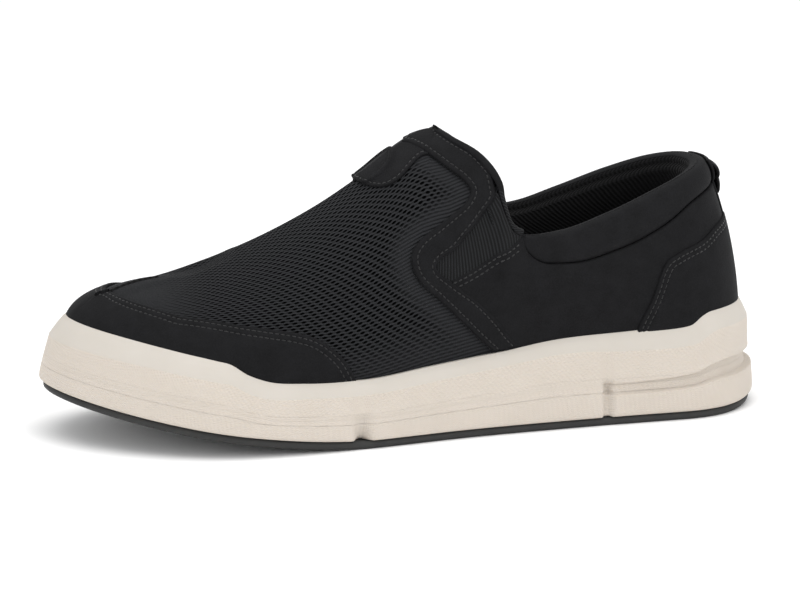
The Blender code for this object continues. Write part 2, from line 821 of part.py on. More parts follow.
def make_midsole(look):
    ring = sole_rings()
    station = station_of(ring)
    foot = ground(station) + OUTSOLE_THICK + FIT_GAP
    rim = rim_height(ring)
    reach = rim_up(ring)
    inner_top = at_height(wall(ring, reach, FIT_GAP), rim)
    outer_top = inner_top + outward(ring) * RIM_THICK
    top_inset = np.sum((sole_edge(ring) - outer_top) * outward(ring) * [1, 1, 0], axis=-1)
    start, end = RECESS_END
    heel = smooth((end - station) / (end - start))
    loops = []
    for share in side_table.rows[:, 0]:
        inset = side_table("lean", share) * top_inset
        inset = inset + side_table("round", share) * BOTTOM_ROUND
        inset = inset + side_table("recess", share) * HEEL_RECESS * heel
        inset = inset + notch(ring, share, FLEX_STATION, FLEX_WIDTH, FLEX_DEPTH, FLEX_SHARE)
        inset = inset + notch(ring, share, BLOCK_STATION, BLOCK_WIDTH, BLOCK_DEPTH, BLOCK_SHARE)
        loops.append(at_height(inset_edge(ring, inset), foot + share * (rim - RIM_BEVEL - foot)))
    loops += [outer_top, inner_top]
    for share in CUP_ROWS:
        loops.append(wall(ring, reach * share, FIT_GAP))
    floor = inset_edge(ring, foot_inset(ring) - FIT_GAP)
    loops.append(at_height(floor, floor_height(station)))
    return ruled_solid("midsole", loops, look)


def make_insole(look):
    ring = np.concatenate([RING_HALF, -RING_HALF[-2:0:-1]])
    side = foot_inset(ring) + WALL + 2 * FIT_GAP
    low = floor_height(station_of(ring)) + FIT_GAP
    loops = [
        at_height(inset_edge(ring, side), low),
        at_height(inset_edge(ring, side), low + INSOLE_THICK - INSOLE_ROUND),
        at_height(inset_edge(ring, side + INSOLE_ROUND), low + INSOLE_THICK),
    ]
    return ruled_solid("insole", loops, look)


def rings_between(start, end):
    """Shared columns from start to end, with both ends added. Past 1 they come up the other side."""
    both = np.concatenate([-RING_HALF[:0:-1], RING_HALF, 2 - RING_HALF[-2::-1]])
    inside = both[(both > start + COLUMN_GAP) & (both < end - COLUMN_GAP)]
    return np.concatenate([[start], inside, [end]])


def band_between(rings, low, high, steps):
    """A sheet between two edges, one place a ring on each."""
    across = np.linspace(0, 1, steps + 1)
    up = low[:, None] + (high - low)[:, None] * across
    return rings[:, None] + 0 * up, up


def mirrored(sheet):
    """The same sheet on the other side of the shoe."""
    ring, up = sheet
    return -ring[::-1], up[::-1]


def offset(proud):
    """A face proud of the upper's outer face."""
    return lambda ring, up: face(ring, up, proud)


def inside(depth):
    """A face under the upper's outer face, which leaves out the cuff's padding."""
    return lambda ring, up: wall(ring, up, -depth)


def panel(name, sheets, thick, look):
    """A piece sewn on the upper: a thin solid over its outer face."""
    return shell(name, sheets, offset(PANEL_GAP + thick), offset(PANEL_GAP), look)


def make_upper(look):
    ring = np.concatenate([-RING_HALF[:0:-1], RING_HALF])
    behind = np.abs(ring) > ROW_SEAM_RING
    seam = np.where(behind, seam_table("up", np.abs(ring)), ROW_SEAM_UP)[:, None]
    below = seam * np.array(ROWS_BELOW_SEAM)
    above = seam + (1 - seam) * np.array(ROWS_ABOVE_SEAM)
    up = np.concatenate([below, above], axis=1)
    sheet = (ring[:, None] + 0 * up, up)
    return shell("upper", [sheet], offset(0.0), inside(WALL), look)


def make_lining(look):
    """Padding inside the collar, thick below its top edge and thin at its hem."""
    rings = rings_between(LINING_START, 2 - LINING_START)
    sheet = band_between(rings, np.full(rings.shape, LINING_FOOT), np.ones(rings.shape), 6)

    def padded(ring, up):
        down = (1 - up) / (1 - LINING_FOOT)
        swell = np.sin(math.pi * down**LINING_SWELL)
        fade = np.clip((1 - LINING_START - np.abs(1 - ring)) / LINING_FADE, 0, 1)
        thick = LINING_HEM + (LINING_THICK - LINING_HEM) * swell * np.sqrt(fade)
        return wall(ring, up, -(WALL + FIT_GAP + thick))

    return shell("collar_lining", [sheet], inside(WALL + FIT_GAP), padded, look)


def make_toe_guard(look):
    rings = rings_between(-GUARD_END, GUARD_END)
    low = rim_up(rings, RIM_GAP)
    high = guard_table("up", np.abs(rings))
    sheet = band_between(rings, low, high, 3)
    return panel("toe_guard", [sheet], OVERLAY, look)


def side_edge(table, share):
    """Places along an edge drawn on the shoe's side."""
    return locate(table("station", share), table("height", share))


def start_run(share, first, last):
    """Even steps from the ridge to the first place of a side edge."""
    return first + (last - first) * share / share[-1]


BAND_AHEAD = (POLE_STATION - BAND_START) / (POLE_STATION - THROAT_STATION)
BAND_RING = RING_POLE + (RING_THROAT - RING_POLE) * BAND_AHEAD


def make_throat_band(look):
    share = np.linspace(BAND_FRONT[0][0], 1, 30)
    front_ring, front_up = side_edge(band_front, share)
    back_ring, back_up = side_edge(band_back, share)
    start = np.linspace(0, share[0], 6)
    front_ring = np.append(start_run(start, BAND_RING, front_ring[0]), front_ring[1:])
    front_up = np.append(start_run(start, 1.0, front_up[0]), front_up[1:])
    back_ring = np.append(start_run(start, RING_THROAT, back_ring[0]), back_ring[1:])
    back_up = np.append(start_run(start, 1.0, back_up[0]), back_up[1:])
    across = np.linspace(0, 1, 5)
    ring = front_ring[:, None] + (back_ring - front_ring)[:, None] * across
    up = front_up[:, None] + (back_up - front_up)[:, None] * across
    up = np.maximum(up, rim_up(ring, RIM_GAP))
    sheets = [(ring, up), mirrored((ring, up))]
    return panel("throat_band", sheets, OVERLAY, look)


def edge_up(table, ring, start=0.0, end=1.0, beyond=None):
    """Height of a side edge over a place on the ring, along a stretch of its run."""
    rings, ups = side_edge(table, np.linspace(start, end, 80))
    order = np.argsort(rings)
    return np.interp(ring, rings[order], ups[order], right=beyond)


def make_patch(look):
    rings = np.linspace(PATCH_TIP, PATCH_BACK, 13)
    low = patch_table("up", rings)
    under_band = edge_up(band_front, rings, BAND_FRONT[0][0], BAND_FRONT[3][0]) - 2 * EDGE_GAP
    high = np.where(rings < BAND_RING - EDGE_GAP / 2, 1.0, under_band)
    sheet = band_between(rings, np.minimum(low, high), high, 4)
    sheets = [sheet, mirrored(sheet)]
    return panel("throat_patch", sheets, OVERLAY, look)


def lower_arm(ring):
    """Height of the band's rear edge where it runs down over the quarter, and 0 behind that."""
    return edge_up(band_back, ring, *BAND_OVER_QUARTER, beyond=0)


GORE_RINGS = np.linspace(GORE_FRONT, CUFF_FRONT, 16)


def make_gores(look):
    rings = GORE_RINGS
    low = np.maximum(edge_up(quarter_table, rings), lower_arm(rings)) + EDGE_GAP
    corner = side_edge(band_back, np.linspace(*BAND_OVER_GORE, 60))[0].max()
    under_band = edge_up(band_back, rings, *BAND_OVER_GORE) - EDGE_GAP
    high = np.where(rings > corner + EDGE_GAP, GORE_TOP, under_band)
    sheet = band_between(rings, low, np.maximum(high, low + EDGE_GAP), 4)
    panel("gore_lateral", [sheet], GORE_THICK, look)
    panel("gore_medial", [mirrored(sheet)], GORE_THICK, look)


def make_quarters(look):
    strip = 1 - STRIP_WIDTH / 2 / RING_LENGTH - EDGE_GAP
    rings = GORE_RINGS[GORE_RINGS > QUARTER_FRONT]
    rings = np.concatenate([rings, rings_between(CUFF_FRONT + COLUMN_GAP, strip)])
    over_counter = np.where(rings > COUNTER_START, counter_table("up", rings), 0)
    low = np.maximum(lower_arm(rings), over_counter) + EDGE_GAP
    low = np.maximum(low, rim_up(rings, RIM_GAP))
    high = np.where(rings > CUFF_FRONT, seam_table("up", rings), edge_up(quarter_table, rings))
    sheet = band_between(rings, low, high - EDGE_GAP / 2, 4)
    panel("quarter_lateral", [sheet], OVERLAY, look)
    panel("quarter_medial", [mirrored(sheet)], OVERLAY, look)


def make_counter(look):
    rings = rings_between(COUNTER_START, 2 - COUNTER_START)
    low = rim_up((rings + 1) % 2 - 1, RIM_GAP)
    high = counter_table("up", 1 - np.abs(rings - 1))
    sheet = band_between(rings, low, high, 3)
    return panel("heel_counter", [sheet], OVERLAY, look)


def make_heel_strip(look):
    half = STRIP_WIDTH / 2 / RING_LENGTH
    rings = np.linspace(1 - half, 1 + half, 5)
    low = np.full(rings.shape, counter_table("up", 1.0) + EDGE_GAP)
    sheet = band_between(rings, low, np.full(rings.shape, STRIP_TOP), 8)
    return panel("heel_strip", [sheet], OVERLAY, look)


def make_pull_loop(look):
    """A webbing loop that stands out of the heel strip and lies on it at both ends."""
    half = LOOP_WIDTH / 2 / RING_LENGTH
    step = 0.1
    drop = step * LOOP_HEIGHT / np.linalg.norm(skin(1.0, LOOP_TOP) - skin(1.0, LOOP_TOP - step))
    rings = np.linspace(1 - half, 1 + half, 5)
    top = np.full(rings.shape, LOOP_TOP)
    sheet = band_between(rings, top - drop, top, 10)
    seat = PANEL_GAP + OVERLAY + FIT_GAP

    def proud(ring, up):
        share = (LOOP_TOP - up) / drop
        return seat + LOOP_REACH * np.sqrt(np.sin(math.pi * share).clip(0, 1))

    def outer(ring, up):
        return face(ring, up, proud(ring, up) + LOOP_THICK)

    def inner(ring, up):
        return face(ring, up, proud(ring, up))

    return shell("pull_loop", [sheet], outer, inner, look)


def stand_on_floor():
    """Moves the shoe so that the middle of its box's underside is the origin."""
    solids = [made for made in shoe.objects if made.type == "MESH"]
    points = np.array([corner.co for made in solids for corner in made.data.vertices])
    low, high = points.min(axis=0), points.max(axis=0)
    root.location = (-(low[0] + high[0]) / 2, -(low[1] + high[1]) / 2, -low[2])


for old in list(bpy.data.objects):
    bpy.data.objects.remove(old)
shoe = bpy.data.collections.new("slip_on_sneaker")
bpy.context.scene.collection.children.link(shoe)
cutters = bpy.data.collections.new("cutters")
bpy.context.scene.collection.children.link(cutters)
root = bpy.data.objects.new("sneaker", None)
shoe.objects.link(root)

rubber = material("black rubber", (0.02, 0.02, 0.02), 0.75)
foam = material("cream midsole foam", (0.80, 0.78, 0.70), 0.62)
knit = material("black knit", (0.012, 0.012, 0.013), 0.85)
nubuck = material("black nubuck", (0.02, 0.02, 0.021), 0.80)
elastic = material("black elastic", (0.015, 0.015, 0.016), 0.70)
lining = material("black lining fabric", (0.016, 0.016, 0.017), 0.90)

make_outsole(rubber)
make_midsole(foam)
make_insole(lining)
make_upper(knit)
make_lining(lining)
make_toe_guard(nubuck)
make_throat_band(nubuck)
make_patch(nubuck)
make_gores(elastic)
make_quarters(nubuck)
make_counter(nubuck)
make_heel_strip(nubuck)
make_pull_loop(elastic)
stand_on_floor()
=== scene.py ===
import math

import bmesh
import bpy
import numpy as np
from mathutils import Matrix, Vector
from mathutils.kdtree import KDTree


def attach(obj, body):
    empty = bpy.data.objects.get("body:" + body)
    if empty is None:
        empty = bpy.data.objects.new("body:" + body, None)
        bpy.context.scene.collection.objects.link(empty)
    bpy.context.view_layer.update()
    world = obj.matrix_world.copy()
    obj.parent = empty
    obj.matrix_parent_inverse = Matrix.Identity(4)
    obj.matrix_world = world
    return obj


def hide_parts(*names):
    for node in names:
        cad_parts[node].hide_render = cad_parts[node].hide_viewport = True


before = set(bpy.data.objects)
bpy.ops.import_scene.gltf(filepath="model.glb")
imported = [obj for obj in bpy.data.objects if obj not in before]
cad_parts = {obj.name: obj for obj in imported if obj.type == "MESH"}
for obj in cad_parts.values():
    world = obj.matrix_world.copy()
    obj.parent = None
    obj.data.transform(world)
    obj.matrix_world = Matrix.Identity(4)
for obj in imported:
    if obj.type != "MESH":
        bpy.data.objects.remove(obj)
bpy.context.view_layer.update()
mm = 0.001
print("scene: frame loaded")


# Main sizes of the shoe.
soleLength = 300 * mm
ballWidth = 108 * mm
instepHeight = 117 * mm
toeSpring = 19 * mm
heelLift = 2.0 * mm

# The underside leaves the floor at these stations, which are shares of the length from the heel.
toeBreak = 0.59
heelBreak = 0.08
toeCurve = 1.5

# Rounding of the sole's outline, measured along the shoe.
toeRound = 72 * mm
heelRound = 40 * mm

# Outsole: its edge stands in from the midsole, and grooves part its underside into lugs.
outsoleThick = 3.2 * mm
outsoleInset = 1.6 * mm

# Midsole: a cup with a bevelled rim, a recess round the heel and a notch where the toes bend.
rimTop = 45 * mm
rimThick = 2.2 * mm
bottomRound = 1.4 * mm
flexStation = 0.605
flexShare = 0.62
footIn = 9.0 * mm
floorHeel = 24 * mm
floorFore = 11 * mm
floorSlope = (0.30, 0.65)
insoleThick = 4.5 * mm
insoleRound = 1.2 * mm

# Upper and what is sewn on it.
wallThick = 2.0 * mm
cuffPuff = 1.8 * mm
liningThick = 6.0 * mm
liningHem = 1.4 * mm
liningSwell = 0.6
stripWidth = 22 * mm
loopWidth = 18 * mm
loopHeight = 12 * mm
loopThick = 1.4 * mm
fitGap = 0.3 * mm

# Plan outline of the sole: stations are shares of soleLength from the heel, widths are shares of
# ballWidth before the ends are rounded off. The centre drifts to the inner side at the toe.
outlineColumns = ("station", "centre", "lateral", "medial")
outlineRows = (
    (0.00, 0.000, 0.370, 0.370),
    (0.12, 0.000, 0.372, 0.368),
    (0.30, 0.000, 0.385, 0.352),
    (0.45, 0.000, 0.415, 0.352),
    (0.60, 0.000, 0.475, 0.420),
    (0.70, -0.004, 0.500, 0.462),
    (0.80, -0.020, 0.500, 0.478),
    (0.90, -0.050, 0.475, 0.470),
    (1.00, -0.085, 0.440, 0.450),
)

# Centre line of the vamp: heights are shares of instepHeight.
ridgeColumns = ("station", "height", "centre")
ridgeRows = (
    (0.440, 1.000, 0.000),
    (0.465, 1.004, 0.000),
    (0.500, 0.970, 0.000),
    (0.550, 0.882, 0.000),
    (0.610, 0.785, 0.000),
    (0.680, 0.692, -0.004),
    (0.760, 0.605, -0.020),
    (0.840, 0.538, -0.035),
    (0.900, 0.512, -0.050),
)
poleStation = 0.840
throatStation = 0.455
throatFoot = 0.520

# Topline from the middle of the throat (0) round one side to the middle of the heel (1).
toplineColumns = ("share", "station", "half", "height")
toplineRows = (
    (0.00, 0.455, 0.000, 1.003),
    (0.10, 0.445, 0.100, 0.985),
    (0.20, 0.416, 0.184, 0.938),
    (0.29, 0.397, 0.256, 0.862),
    (0.36, 0.393, 0.297, 0.780),
    (0.42, 0.384, 0.308, 0.718),
    (0.48, 0.362, 0.310, 0.686),
    (0.56, 0.310, 0.312, 0.694),
    (0.66, 0.248, 0.305, 0.742),
    (0.77, 0.178, 0.272, 0.808),
    (0.87, 0.120, 0.205, 0.858),
    (0.94, 0.092, 0.115, 0.878),
    (1.00, 0.083, 0.000, 0.882),
)

# Where the sections behind the throat reach the topline: the run is a share of the ring from the
# throat to the heel, the share is the topline's, and a vamp section is cut off at trim.
collarColumns = ("run", "share", "trim")
collarRows = (
    (0.000, 0.000, 1.00),
    (0.050, 0.098, 0.87),
    (0.100, 0.168, 0.79),
    (0.150, 0.242, 0.70),
    (0.185, 0.355, 0.56),
    (0.215, 0.420, 0.48),
    (0.300, 0.480, 0.42),
    (0.390, 0.548, 0.40),
    (0.590, 0.695, 0.40),
    (0.800, 0.850, 0.40),
    (1.000, 1.000, 0.40),
)
vampToCollar = (0.05, 0.25)
ridgeSweep = 0.030

# Shape of each section: how far the wall leans out at the foot and falls away at the top, in
# degrees, and how far each end carries on in that direction, as a share of the section's chord.
# The inset is a share of footIn.
sectionColumns = ("foot", "inset", "lean", "rise", "fall", "reach")
sectionRows = (
    (0.000, 1.00, 2.0, 0.30, 64.0, 0.30),
    (0.080, 1.00, 4.0, 0.30, 70.0, 0.30),
    (0.250, 1.00, 7.0, 0.32, 78.0, 0.28),
    (0.360, 1.00, 6.0, 0.34, 74.0, 0.26),
    (0.420, 1.00, 6.0, 0.36, 50.0, 0.26),
    (0.520, 1.00, 6.0, 0.42, 9.0, 0.32),
    (0.580, 1.00, 6.0, 0.42, 10.0, 0.30),
    (0.700, 1.00, 10.0, 0.44, 9.0, 0.30),
    (0.840, 1.10, 16.0, 0.48, 4.0, 0.40),
    (0.960, 1.40, 20.0, 0.50, 0.0, 0.50),
    (1.000, 1.50, 20.0, 0.50, 0.0, 0.52),
)

# Height of the midsole's rim as a share of rimTop: toe bumper, low side, heel step.
rimColumns = ("station", "height")
rimRows = (
    (0.000, 1.000),
    (0.080, 0.985),
    (0.095, 0.955),
    (0.120, 0.875),
    (0.200, 0.845),
    (0.320, 0.810),
    (0.400, 0.740),
    (0.500, 0.665),
    (0.600, 0.605),
    (0.680, 0.620),
    (0.735, 0.665),
    (0.760, 0.730),
    (0.785, 0.830),
    (0.800, 0.855),
    (0.900, 0.985),
    (1.000, 1.080),
)

# Places on the upper are a ring and an up, as for skin below. Top edge of the toe guard.
edgeColumns = ("ring", "up")
guardRows = (
    (0.000, 0.668),
    (0.060, 0.676),
    (0.110, 0.668),
    (0.145, 0.642),
    (0.210, 0.568),
    (0.263, 0.480),
    (0.305, 0.403),
    (0.338, 0.357),
    (0.372, 0.312),
    (0.390, 0.280),
    (0.406, 0.236),
    (0.422, 0.180),
    (0.438, 0.095),
)

# Seam under the padded cuff, from the cuff's front end at the topline to the heel.
cuffFront = 0.637
cuffRise = (0.668, 0.705)
seamRows = (
    (0.637, 0.970),
    (0.650, 0.870),
    (0.673, 0.765),
    (0.698, 0.738),
    (0.740, 0.722),
    (0.770, 0.730),
    (0.815, 0.748),
    (0.855, 0.780),
    (0.907, 0.838),
    (1.000, 0.850),
)

# Front and top edge of the heel counter.
counterRows = (
    (0.755, 0.020),
    (0.770, 0.155),
    (0.780, 0.240),
    (0.797, 0.352),
    (0.812, 0.450),
    (0.825, 0.532),
    (0.836, 0.575),
    (0.853, 0.598),
    (0.897, 0.623),
    (0.923, 0.650),
    (1.000, 0.665),
)

# Lower edge of the patch in front of the throat band.
patchTip = 0.430
patchBack = 0.502
patchRows = (
    (0.430, 1.000),
    (0.437, 0.925),
    (0.447, 0.863),
    (0.458, 0.812),
    (0.468, 0.787),
    (0.480, 0.782),
    (0.490, 0.800),
    (0.502, 0.830),
)

# Edges drawn on the shoe's side: stations are shares of soleLength, heights of instepHeight.
# The throat band runs from the ridge back along the topline, then forward and down to the rim.
sideEdgeColumns = ("share", "station", "height")
bandStart = 0.502
bandFrontRows = (
    (0.05, 0.495, 0.969),
    (0.10, 0.485, 0.955),
    (0.17, 0.460, 0.906),
    (0.24, 0.440, 0.863),
    (0.29, 0.434, 0.833),
    (0.34, 0.443, 0.798),
    (0.40, 0.461, 0.765),
    (0.48, 0.488, 0.723),
    (0.55, 0.511, 0.688),
    (0.60, 0.523, 0.654),
    (0.64, 0.526, 0.626),
    (0.69, 0.524, 0.586),
    (0.75, 0.515, 0.545),
    (0.85, 0.486, 0.474),
    (0.90, 0.464, 0.419),
    (0.95, 0.440, 0.356),
    (1.00, 0.413, 0.291),
)
bandBackRows = (
    (0.05, 0.449, 0.990),
    (0.10, 0.437, 0.972),
    (0.17, 0.420, 0.937),
    (0.24, 0.406, 0.893),
    (0.29, 0.402, 0.851),
    (0.34, 0.401, 0.826),
    (0.40, 0.406, 0.797),
    (0.44, 0.416, 0.770),
    (0.48, 0.429, 0.733),
    (0.55, 0.446, 0.689),
    (0.60, 0.464, 0.646),
    (0.64, 0.482, 0.621),
    (0.67, 0.490, 0.602),
    (0.70, 0.490, 0.582),
    (0.75, 0.477, 0.553),
    (0.80, 0.459, 0.518),
    (0.86, 0.434, 0.471),
    (0.92, 0.407, 0.402),
    (0.96, 0.391, 0.347),
    (1.00, 0.376, 0.307),
)

# Top edge of the quarter, which carries the elastic.
quarterRows = (
    (0.00, 0.498, 0.526),
    (0.15, 0.483, 0.539),
    (0.35, 0.457, 0.562),
    (0.57, 0.429, 0.596),
    (0.78, 0.402, 0.637),
    (0.92, 0.379, 0.668),
    (1.00, 0.366, 0.690),
)

# Other places of the panels: rings and ups.
quarterFront = 0.548
guardEnd = 0.430
counterStart = 0.778
liningStart = 0.630
liningFoot = 0.450
liningFade = 0.050
stripTop = 0.995
loopTop = 0.975


class Table:  # rows of values at stations. A call reads one column, joined smoothly between the rows

    def __init__(self, columns, rows, steady=False, mirrored=(), odd=()):
        self.columns = columns
        self.rows = np.array(rows, float)
        self.steady = steady
        self.mirrored = mirrored
        self.odd = odd

    def column(self, name):
        index = self.columns.index(name)
        keys, values = self.rows[:, 0], self.rows[:, index]
        if self.mirrored:
            sign = -1 if name in self.odd else 1
            before = (2 * keys[0] - keys[1], sign * values[1] + (1 - sign) * values[0])
            after = (2 * keys[-1] - keys[-2], sign * values[-2] + (1 - sign) * values[-1])
            keys = np.concatenate([[before[0]], keys, [after[0]]])
            values = np.concatenate([[before[1]], values, [after[1]]])
        return keys, values

    def slopes(self, keys, values):
        step = np.diff(keys)
        secant = np.diff(values) / step
        inner = (secant[:-1] * step[1:] + secant[1:] * step[:-1]) / (step[:-1] + step[1:])
        if self.steady:
            low = 3 * np.minimum(abs(secant[:-1]), abs(secant[1:]))
            inner = np.where(
                secant[:-1] * secant[1:] > 0,
                np.sign(inner) * np.minimum(abs(inner), low),
                0,
            )
        return np.concatenate([[secant[0]], inner, [secant[-1]]])

    def __call__(self, name, at):
        keys, values = self.column(name)
        slope = self.slopes(keys, values)
        at = np.clip(np.asarray(at, float), self.rows[0, 0], self.rows[-1, 0])
        i = np.clip(np.searchsorted(keys, at, side="right") - 1, 0, len(keys) - 2)
        width = keys[i + 1] - keys[i]
        t = (at - keys[i]) / width
        return (
            values[i] * (1 + 2 * t) * (1 - t) ** 2
            + slope[i] * width * t * (1 - t) ** 2
            + values[i + 1] * t**2 * (3 - 2 * t)
            + slope[i + 1] * width * t**2 * (t - 1)
        )


outlineTable = Table(outlineColumns, outlineRows)
ridgeTable = Table(ridgeColumns, ridgeRows)
collarTable = Table(collarColumns, collarRows, steady=True)
toplineTable = Table(toplineColumns, toplineRows, mirrored=True, odd=("half",))
sectionTable = Table(sectionColumns, sectionRows)
rimTable = Table(rimColumns, rimRows, steady=True)
guardTable = Table(edgeColumns, guardRows)
quarterTable = Table(sideEdgeColumns, quarterRows)
seamTable = Table(edgeColumns, seamRows, steady=True)
counterTable = Table(edgeColumns, counterRows, steady=True)
bandFront = Table(sideEdgeColumns, bandFrontRows)
bandBack = Table(sideEdgeColumns, bandBackRows)
patchTable = Table(edgeColumns, patchRows)


def unit(vectors):
    return vectors / np.linalg.norm(vectors, axis=-1, keepdims=True)


def stacked(x, y, z):
    return np.stack(np.broadcast_arrays(x, y, z), axis=-1)


# The ring round the shoe runs from -1 to 1: 0 is the toe tip, 1 and -1 are the middle of the heel,
# and the lateral side is positive.
toeArc = math.pi / 2 * toeRound
heelArc = math.pi / 2 * heelRound
straight = soleLength - toeRound - heelRound
ringLength = toeArc + straight + heelArc


def stationOf(ring):  # share of the sole's length at a place on the ring
    run = np.abs(ring) * ringLength
    toe = soleLength - toeRound * (1 - np.cos(np.clip(run / toeRound, 0, math.pi / 2)))
    middle = soleLength - toeRound - (run - toeArc)
    left = np.clip((ringLength - run) / heelRound, 0, math.pi / 2)
    heel = heelRound * (1 - np.cos(left))
    x = np.where(run < toeArc, toe, np.where(run < toeArc + straight, middle, heel))
    return x / soleLength


def ringOf(station):  # the place on the ring, 0 to 1, of a station
    x = station * soleLength
    if x > soleLength - toeRound:
        run = toeRound * math.acos(1 - (soleLength - x) / toeRound)
    elif x > heelRound:
        run = toeArc + soleLength - toeRound - x
    else:
        run = ringLength - heelRound * math.acos(1 - x / heelRound)
    return run / ringLength


def endRounding(station):
    x = station * soleLength
    toe = np.clip((x - soleLength + toeRound) / toeRound, 0, 1)
    heel = np.clip((heelRound - x) / heelRound, 0, 1)
    return np.sqrt(np.clip(1 - toe**2, 0, 1)) * np.sqrt(np.clip(1 - heel**2, 0, 1))


def soleEdge(ring):  # widest outline of the sole in plan
    ring = (np.asarray(ring, float) + 1) % 2 - 1
    station = stationOf(ring)
    lateral = outlineTable("lateral", station)
    medial = outlineTable("medial", station)
    half = np.where(ring >= 0, lateral, -medial) * endRounding(station)
    y = (outlineTable("centre", station) + half) * ballWidth
    return stacked(station * soleLength, y, 0.0)


def outward(ring):  # level direction out of the outline
    step = 0.002
    along = soleEdge(ring + step) - soleEdge(ring - step)
    return unit(stacked(-along[..., 1], along[..., 0], 0.0)) * -1


def insetEdge(ring, inset):
    inset = np.asarray(inset, float)[..., None]
    return soleEdge(ring) - outward(ring) * inset


# Height of the outsole's underside: flat, with toe spring and a slight lift at the heel.
def ground(station):
    toe = np.clip((station - toeBreak) / (1 - toeBreak), 0, 1)
    heel = np.clip((heelBreak - station) / heelBreak, 0, 1)
    return toeSpring * toe**toeCurve + heelLift * heel**2


def floorHeight(station):  # height of the midsole's floor inside the cup
    start, end = floorSlope
    thick = floorHeel + (floorFore - floorHeel) * smooth((station - start) / (end - start))
    return ground(station) + outsoleThick + thick


def rimHeight(ring):
    return rimTable("height", stationOf(ring)) * rimTop


def ridgePoint(station):
    y = ridgeTable("centre", station) * ballWidth
    z = ridgeTable("height", station) * instepHeight
    return stacked(station * soleLength, y, z)


def ridgeDirection(station, step=0.004):
    return unit(ridgePoint(station + step) - ridgePoint(station - step))


ringPole = ringOf(poleStation)
ringThroat = ringOf(throatFoot)
sideways = np.array([0.0, 1.0, 0.0])
upward = np.array([0.0, 0.0, 1.0])


def smooth(share):
    share = np.clip(share, 0, 1)
    return share * share * (3 - 2 * share)


def topStation(ring):  # station of the ridge over a place on the ring, carried on behind the throat
    ring = np.abs(ring)
    share = (ring - ringPole) / (ringThroat - ringPole)
    ahead = poleStation + (throatStation - poleStation) * np.clip(share, 0, 1)
    return ahead - np.clip(ring - ringThroat, 0, 1) * ringLength / soleLength


def collarRun(ring):
    return np.clip((np.abs(ring) - ringThroat) / (1 - ringThroat), 0, 1)


def collarPoint(ring):  # a point of the topline
    share = collarTable("share", collarRun(ring))
    return stacked(
        toplineTable("station", share) * soleLength,
        toplineTable("half", share) * ballWidth * np.where(ring >= 0, 1.0, -1.0),
        toplineTable("height", share) * instepHeight,
    )


def footInset(ring):
    return sectionTable("inset", stationOf(ring)) * footIn


def footPoint(ring):  # lower end of a section, on the midsole's floor
    edge = insetEdge(ring, footInset(ring))
    edge[..., 2] = floorHeight(stationOf(ring)) + fitGap
    return edge


# A curve from the foot to the top, where it comes in from the level direction away.
def section(ring, foot, top, away, station, up):
    chord = np.linalg.norm(top - foot, axis=-1, keepdims=True)
    lean = np.radians(sectionTable("lean", station))[..., None]
    rise = sectionTable("rise", station)[..., None]
    fall = np.radians(sectionTable("fall", station))[..., None]
    reach = sectionTable("reach", station)[..., None]
    low = foot + (outward(ring) * np.sin(lean) + upward * np.cos(lean)) * rise * chord
    high = top + (away * np.cos(fall) - upward * np.sin(fall)) * reach * chord
    t = up[..., None]
    return (
        foot * (1 - t) ** 3
        + low * 3 * t * (1 - t) ** 2
        + high * 3 * t**2 * (1 - t)
        + top * t**3
    )


def skin(ring, up):  # the upper's outer face: up runs from 0 at the foot to 1 at the ridge or topline
    ring, up = np.broadcast_arrays(np.asarray(ring, float), np.asarray(up, float))
    ring = (ring + 1) % 2 - 1
    side = np.where(ring >= 0, 1.0, -1.0)[..., None]
    station = stationOf(ring)
    foot = footPoint(ring)
    run = collarRun(ring)

    # Vamp: sections that close on the ridge, cut off at the topline behind the throat.
    ridge = ridgePoint(topStation(ring))
    level = foot - ridge
    turn = np.arctan2(np.abs(level[..., 1]), level[..., 0])[..., None]
    along = ridgeDirection(topStation(ring), ridgeSweep)
    away = np.cos(turn) * along + np.sin(turn) * side * sideways
    trim = collarTable("trim", run)
    ahead = np.maximum(station, throatFoot)
    vamp = section(ring, foot, ridge, away, ahead, up * trim)
    vampEnd = section(ring, foot, ridge, away, ahead, trim)

    # Collar: sections that end on the topline.
    edge = np.where((run > 0)[..., None], collarPoint(ring), ridge)
    collar = section(ring, foot, edge, outward(ring), station, up)

    start, end = vampToCollar
    share = smooth((run - start) / (end - start))[..., None]
    left = (1 - share) * (edge - vampEnd)
    return vamp * (1 - share) + collar * share + left * up[..., None] ** 3


def skinNormal(ring, up):
    ring, up = np.broadcast_arrays(np.asarray(ring, float), np.asarray(up, float))
    step = 0.002
    level = np.clip(up, 0.004, 0.996)
    around = skin(ring + step, level) - skin(ring - step, level)
    rising = skin(ring, level + step) - skin(ring, level - step)
    normal = unit(np.cross(around, rising))
    ridge = np.cross(ridgeDirection(topStation(ring)), sideways)
    onRidge = (up > 0.9999) & (np.abs((ring + 1) % 2 - 1) <= ringThroat + 1e-9)
    return np.where(onRidge[..., None], unit(ridge), normal)


def wall(ring, up, proud=0.0):  # a point of the upper, moved out of its face by proud
    proud = np.asarray(proud, float)[..., None]
    return skin(ring, up) + skinNormal(ring, up) * proud


def rimUp(ring, above=0.0):  # how far up the upper the midsole's rim reaches, or a height above the rim
    low = np.zeros(np.shape(ring))
    high = np.ones(np.shape(ring))
    level = rimHeight(ring) + above
    for _ in range(30):
        middle = (low + high) / 2
        under = skin(ring, middle)[..., 2] < level
        low = np.where(under, middle, low)
        high = np.where(under, high, middle)
    return low


